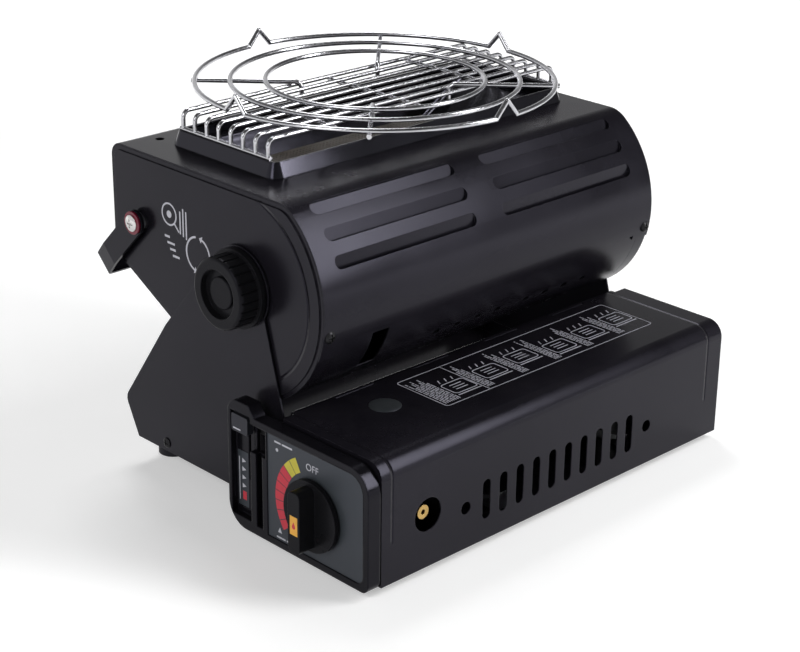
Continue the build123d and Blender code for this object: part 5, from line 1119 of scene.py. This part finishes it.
class HEATER_OT_screws(bpy.types.Operator):
    """Cut a cross recess into every screw head"""

    bl_idname = "heater.screws"
    bl_label = "Screws"

    def execute(self, context):
        dress_screws("base_screws", "base", finish("screw_black"), 1.25)
        dress_screws("head_screws", "head", finish("screw_black"), 1.25)
        dress_screws("handle_screws", "head", finish("bright_steel"), 1.1)
        return {"FINISHED"}


def flame_hole_tree(material):
    """A block whose top is drilled with a regular field of small holes."""
    tree = bpy.data.node_groups.new("Flame Holes", "GeometryNodeTree")
    found = add_inputs(tree, (
        ("Length", 0.13), ("Width", 0.056), ("Height", 0.012), ("Pitch", 2.55 * MM),
        ("Hole Radius", 0.6 * MM), ("Columns", 47), ("Rows", 20)))
    given = add(tree, "NodeGroupInput")
    output = add(tree, "NodeGroupOutput")
    block = add(tree, "GeometryNodeMeshCube")
    size = vector_of(tree, given.outputs["Length"], given.outputs["Width"], given.outputs["Height"])
    tree.links.new(size, block.inputs["Size"])
    grid = add(tree, "GeometryNodeMeshGrid")
    for label, count, reach in (("Columns", "Vertices X", "Size X"), ("Rows", "Vertices Y", "Size Y")):
        tree.links.new(given.outputs[label], grid.inputs[count])
        spans = maths(tree, "SUBTRACT", given.outputs[label], 1.0)
        tree.links.new(maths(tree, "MULTIPLY", spans, given.outputs["Pitch"]), grid.inputs[reach])
    hole = cylinder(tree, given.outputs["Hole Radius"], given.outputs["Height"], 8)
    holes = add(tree, "GeometryNodeInstanceOnPoints")
    tree.links.new(grid.outputs["Mesh"], holes.inputs["Points"])
    tree.links.new(hole, holes.inputs["Instance"])
    real = add(tree, "GeometryNodeRealizeInstances")
    tree.links.new(holes.outputs["Instances"], real.inputs[0])
    lifted = moved(tree, real.outputs[0], vector_of(
        tree, 0.0, 0.0, maths(tree, "MULTIPLY", given.outputs["Height"], 0.6)))
    close_tree(tree, cut(tree, "DIFFERENCE", block.outputs["Mesh"], (lifted,)), material, output)
    return tree, found


class HEATER_OT_burner_plate(bpy.types.Operator):
    """Drill the flame holes of the ceramic burner plate"""

    bl_idname = "heater.burner_plate"
    bl_label = "Burner plate"

    def execute(self, context):
        low, high = (Vector(corner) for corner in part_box("ceramic_burner"))
        size = high - low
        pitch = sizes().cell_pitch
        values = {
            "Length": size.x, "Width": size.y, "Height": size.z, "Pitch": pitch,
            "Hole Radius": pitch * 0.26, "Columns": int(size.x / pitch) - 1, "Rows": int(size.y / pitch) - 1,
        }
        tree, found = flame_hole_tree(finish("ceramic"))
        start = bpy.data.meshes.new("burner_plate_start")
        start.from_pydata([(0.0, 0.0, 0.0)], [], [])
        mesh = baked("burner_plate", start, tree, values, found)
        mesh.transform(Matrix.Translation((low + high) / 2))
        made = placed_mesh("burner_plate", mesh, "head")
        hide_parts("ceramic_burner")
        return {"FINISHED"}


# ---- stage ----
def floor_material():
    """Pale matt floor that reads white to the eye and keeps the shadow; its glow is weaker near the heater, a
    painted shade that darkens the floor round it.
    """
    material = bpy.data.materials.new("stage_floor")
    material.use_nodes = True
    tree = material.node_tree
    tree.nodes.clear()
    grain = spread(tree, noise(tree, object_place(tree), 9.0, 5.0), 0.3, 0.7, 0.79, 0.82)
    tone = add(tree, "ShaderNodeCombineColor")
    for index in range(3):
        tree.links.new(grain, tone.inputs[index])
    matt = add(tree, "ShaderNodeBsdfDiffuse")
    tree.links.new(tone.outputs[0], matt.inputs["Color"])
    glow = add(tree, "ShaderNodeEmission", inputs={"Color": (1.0, 1.0, 1.0, 1.0)})
    seen = add(tree, "ShaderNodeLightPath")
    straight = maths(tree, "MAXIMUM", seen.outputs["Is Camera Ray"], seen.outputs["Is Glossy Ray"])
    passed = maths(tree, "MAXIMUM", straight, seen.outputs["Is Transmission Ray"])
    reach = add(tree, "ShaderNodeVectorMath", {"operation": "LENGTH"})
    tree.links.new(object_place(tree), reach.inputs[0])
    # painted shade: the glow is at its weakest within 0.7 m of the heater and rises to full further off, so the
    # floor round the heater reads darker
    level = spread(tree, reach.outputs["Value"], 0.7, 1.6, 0.36, 1.0)
    tree.links.new(maths(tree, "MULTIPLY", passed, level), glow.inputs["Strength"])
    both = add(tree, "ShaderNodeAddShader")
    tree.links.new(matt.outputs[0], both.inputs[0])
    tree.links.new(glow.outputs[0], both.inputs[1])
    output = add(tree, "ShaderNodeOutputMaterial")
    tree.links.new(both.outputs[0], output.inputs["Surface"])
    return material


def studio_world(strength, ceiling):
    """White to the eye; a soft light near the horizon that fades overhead."""
    world = bpy.data.worlds.new("studio")
    world.use_nodes = True
    tree = world.node_tree
    tree.nodes.clear()
    axes = add(tree, "ShaderNodeSeparateXYZ")
    tree.links.new(add(tree, "ShaderNodeTexCoord").outputs["Generated"], axes.inputs[0])
    low = spread(tree, axes.outputs["Z"], 0.3, 0.46, 1.0, ceiling)
    behind = spread(tree, axes.outputs["Y"], -0.35, 0.35, 0.45, 1.0)
    beside = spread(tree, axes.outputs["X"], 0.6, 0.85, 1.0, 0.5)
    level = maths(tree, "MULTIPLY", low, maths(tree, "MULTIPLY", behind, beside))
    soft = add(tree, "ShaderNodeBackground")
    tree.links.new(maths(tree, "MULTIPLY", level, strength), soft.inputs["Strength"])
    white = add(tree, "ShaderNodeBackground", inputs={"Strength": 1.0})
    white.inputs["Color"].default_value = (1.0, 1.0, 1.0, 1.0)
    seen = add(tree, "ShaderNodeLightPath")
    passed = maths(tree, "MAXIMUM", seen.outputs["Is Camera Ray"], seen.outputs["Is Transmission Ray"])
    both = add(tree, "ShaderNodeMixShader")
    tree.links.new(passed, both.inputs["Fac"])
    tree.links.new(soft.outputs[0], both.inputs[1])
    tree.links.new(white.outputs[0], both.inputs[2])
    output = add(tree, "ShaderNodeOutputWorld")
    tree.links.new(both.outputs[0], output.inputs["Surface"])
    return world


def soft_light(name, place, target, length, width, power):
    """A soft box that faces its target, its length square to the heater's own length."""
    lamp = bpy.data.lights.new(name, "AREA")
    lamp.shape = "RECTANGLE"
    lamp.size = length
    lamp.size_y = width
    lamp.energy = power
    made = bpy.data.objects.new(name, lamp)
    back = (Vector(place) - Vector(target)).normalized()
    along = back.cross(Vector((1.0, 0.0, 0.0))).normalized()
    turned = Matrix((along, back.cross(along), back)).transposed()
    made.matrix_world = Matrix.Translation(place) @ turned.to_4x4()
    bpy.context.scene.collection.objects.link(made)


CAMERA_PLACE = Vector((-0.72178, -0.75429, 0.50846))


def add_camera(settings):
    """Camera at its place, with its own turn, tilt and roll."""
    data = bpy.data.cameras.new("camera")
    data.sensor_width = 36.0
    data.lens = settings.lens
    data.clip_start = 0.05
    data.clip_end = 20.0
    turn, rise, roll = settings.azimuth, settings.elevation, settings.roll
    back = Vector((math.sin(turn) * math.cos(rise), -math.cos(turn) * math.cos(rise), math.sin(rise)))
    right = Vector((math.cos(turn), math.sin(turn), 0.0))
    up = back.cross(right)
    rolled_right = right * math.cos(roll) + up * math.sin(roll)
    rolled_up = up * math.cos(roll) - right * math.sin(roll)
    made = bpy.data.objects.new("camera", data)
    turned = Matrix((rolled_right, rolled_up, back)).transposed()
    made.matrix_world = Matrix.Translation(CAMERA_PLACE) @ turned.to_4x4()
    bpy.context.scene.collection.objects.link(made)
    bpy.context.scene.camera = made


class HEATER_OT_stage(bpy.types.Operator):
    """Build the floor, the soft lights and the camera"""

    bl_idname = "heater.stage"
    bl_label = "Stage"

    def execute(self, context):
        scene = context.scene
        settings = scene.heater_stage
        mesh = bpy.data.meshes.new("floor")
        built = bmesh.new()
        bmesh.ops.create_grid(built, x_segments=1, y_segments=1, size=6.0)
        built.to_mesh(mesh)
        built.free()
        mesh.materials.append(floor_material())
        floor = bpy.data.objects.new("floor", mesh)
        floor.location.z = -0.0002
        scene.collection.objects.link(floor)
        scene.world = studio_world(settings.sky, settings.ceiling)
        soft_light("key", (0.98, -1.2, 1.06), (-0.08, -0.08, 0.14), 1.9, 0.3, settings.key_power)
        soft_light("side", (-1.5, -0.35, 1.0), (0.0, 0.0, 0.12), 0.8, 0.8, settings.side_power)
        soft_light("top", (0.45, 0.8, 1.6), (0.0, 0.0, 0.1), 0.6, 0.6, settings.top_power)
        add_camera(settings)
        scene.view_settings.view_transform = "Standard"
        return {"FINISHED"}


class HEATER_PT_panel(bpy.types.Panel):
    """Heater finishing steps"""

    bl_label = "Heater"
    bl_idname = "HEATER_PT_panel"
    bl_space_type = "VIEW_3D"
    bl_region_type = "UI"
    bl_category = "Heater"

    def draw(self, context):
        for group in (context.scene.heater_paint, context.scene.heater_sizes, context.scene.heater_stage):
            box = self.layout.box()
            for key in group.__annotations__:
                box.prop(group, key)
        for step in STEPS:
            self.layout.operator(step.bl_idname)


STEPS = [
    HEATER_OT_stage, HEATER_OT_finishes, HEATER_OT_screws, HEATER_OT_burner_plate, HEATER_OT_control_marks,
    HEATER_OT_slot_pocket, HEATER_OT_lever_marks, HEATER_OT_knob_mark, HEATER_OT_lid_panel, HEATER_OT_side_marks,
]
GROUPS = [HeaterPaint, HeaterSizes, HeaterStage]


def register():
    for each in GROUPS + STEPS + [HEATER_PT_panel]:
        bpy.utils.register_class(each)
    bpy.types.Scene.heater_paint = PointerProperty(type=HeaterPaint)
    bpy.types.Scene.heater_sizes = PointerProperty(type=HeaterSizes)
    bpy.types.Scene.heater_stage = PointerProperty(type=HeaterStage)


def unregister():
    del bpy.types.Scene.heater_paint
    del bpy.types.Scene.heater_sizes
    del bpy.types.Scene.heater_stage
    for each in reversed(GROUPS + STEPS + [HEATER_PT_panel]):
        bpy.utils.unregister_class(each)


def main():
    register()
    for step in STEPS:
        group, _, call = step.bl_idname.partition(".")
        getattr(getattr(bpy.ops, group), call)()


if __name__ == "__main__":
    main()
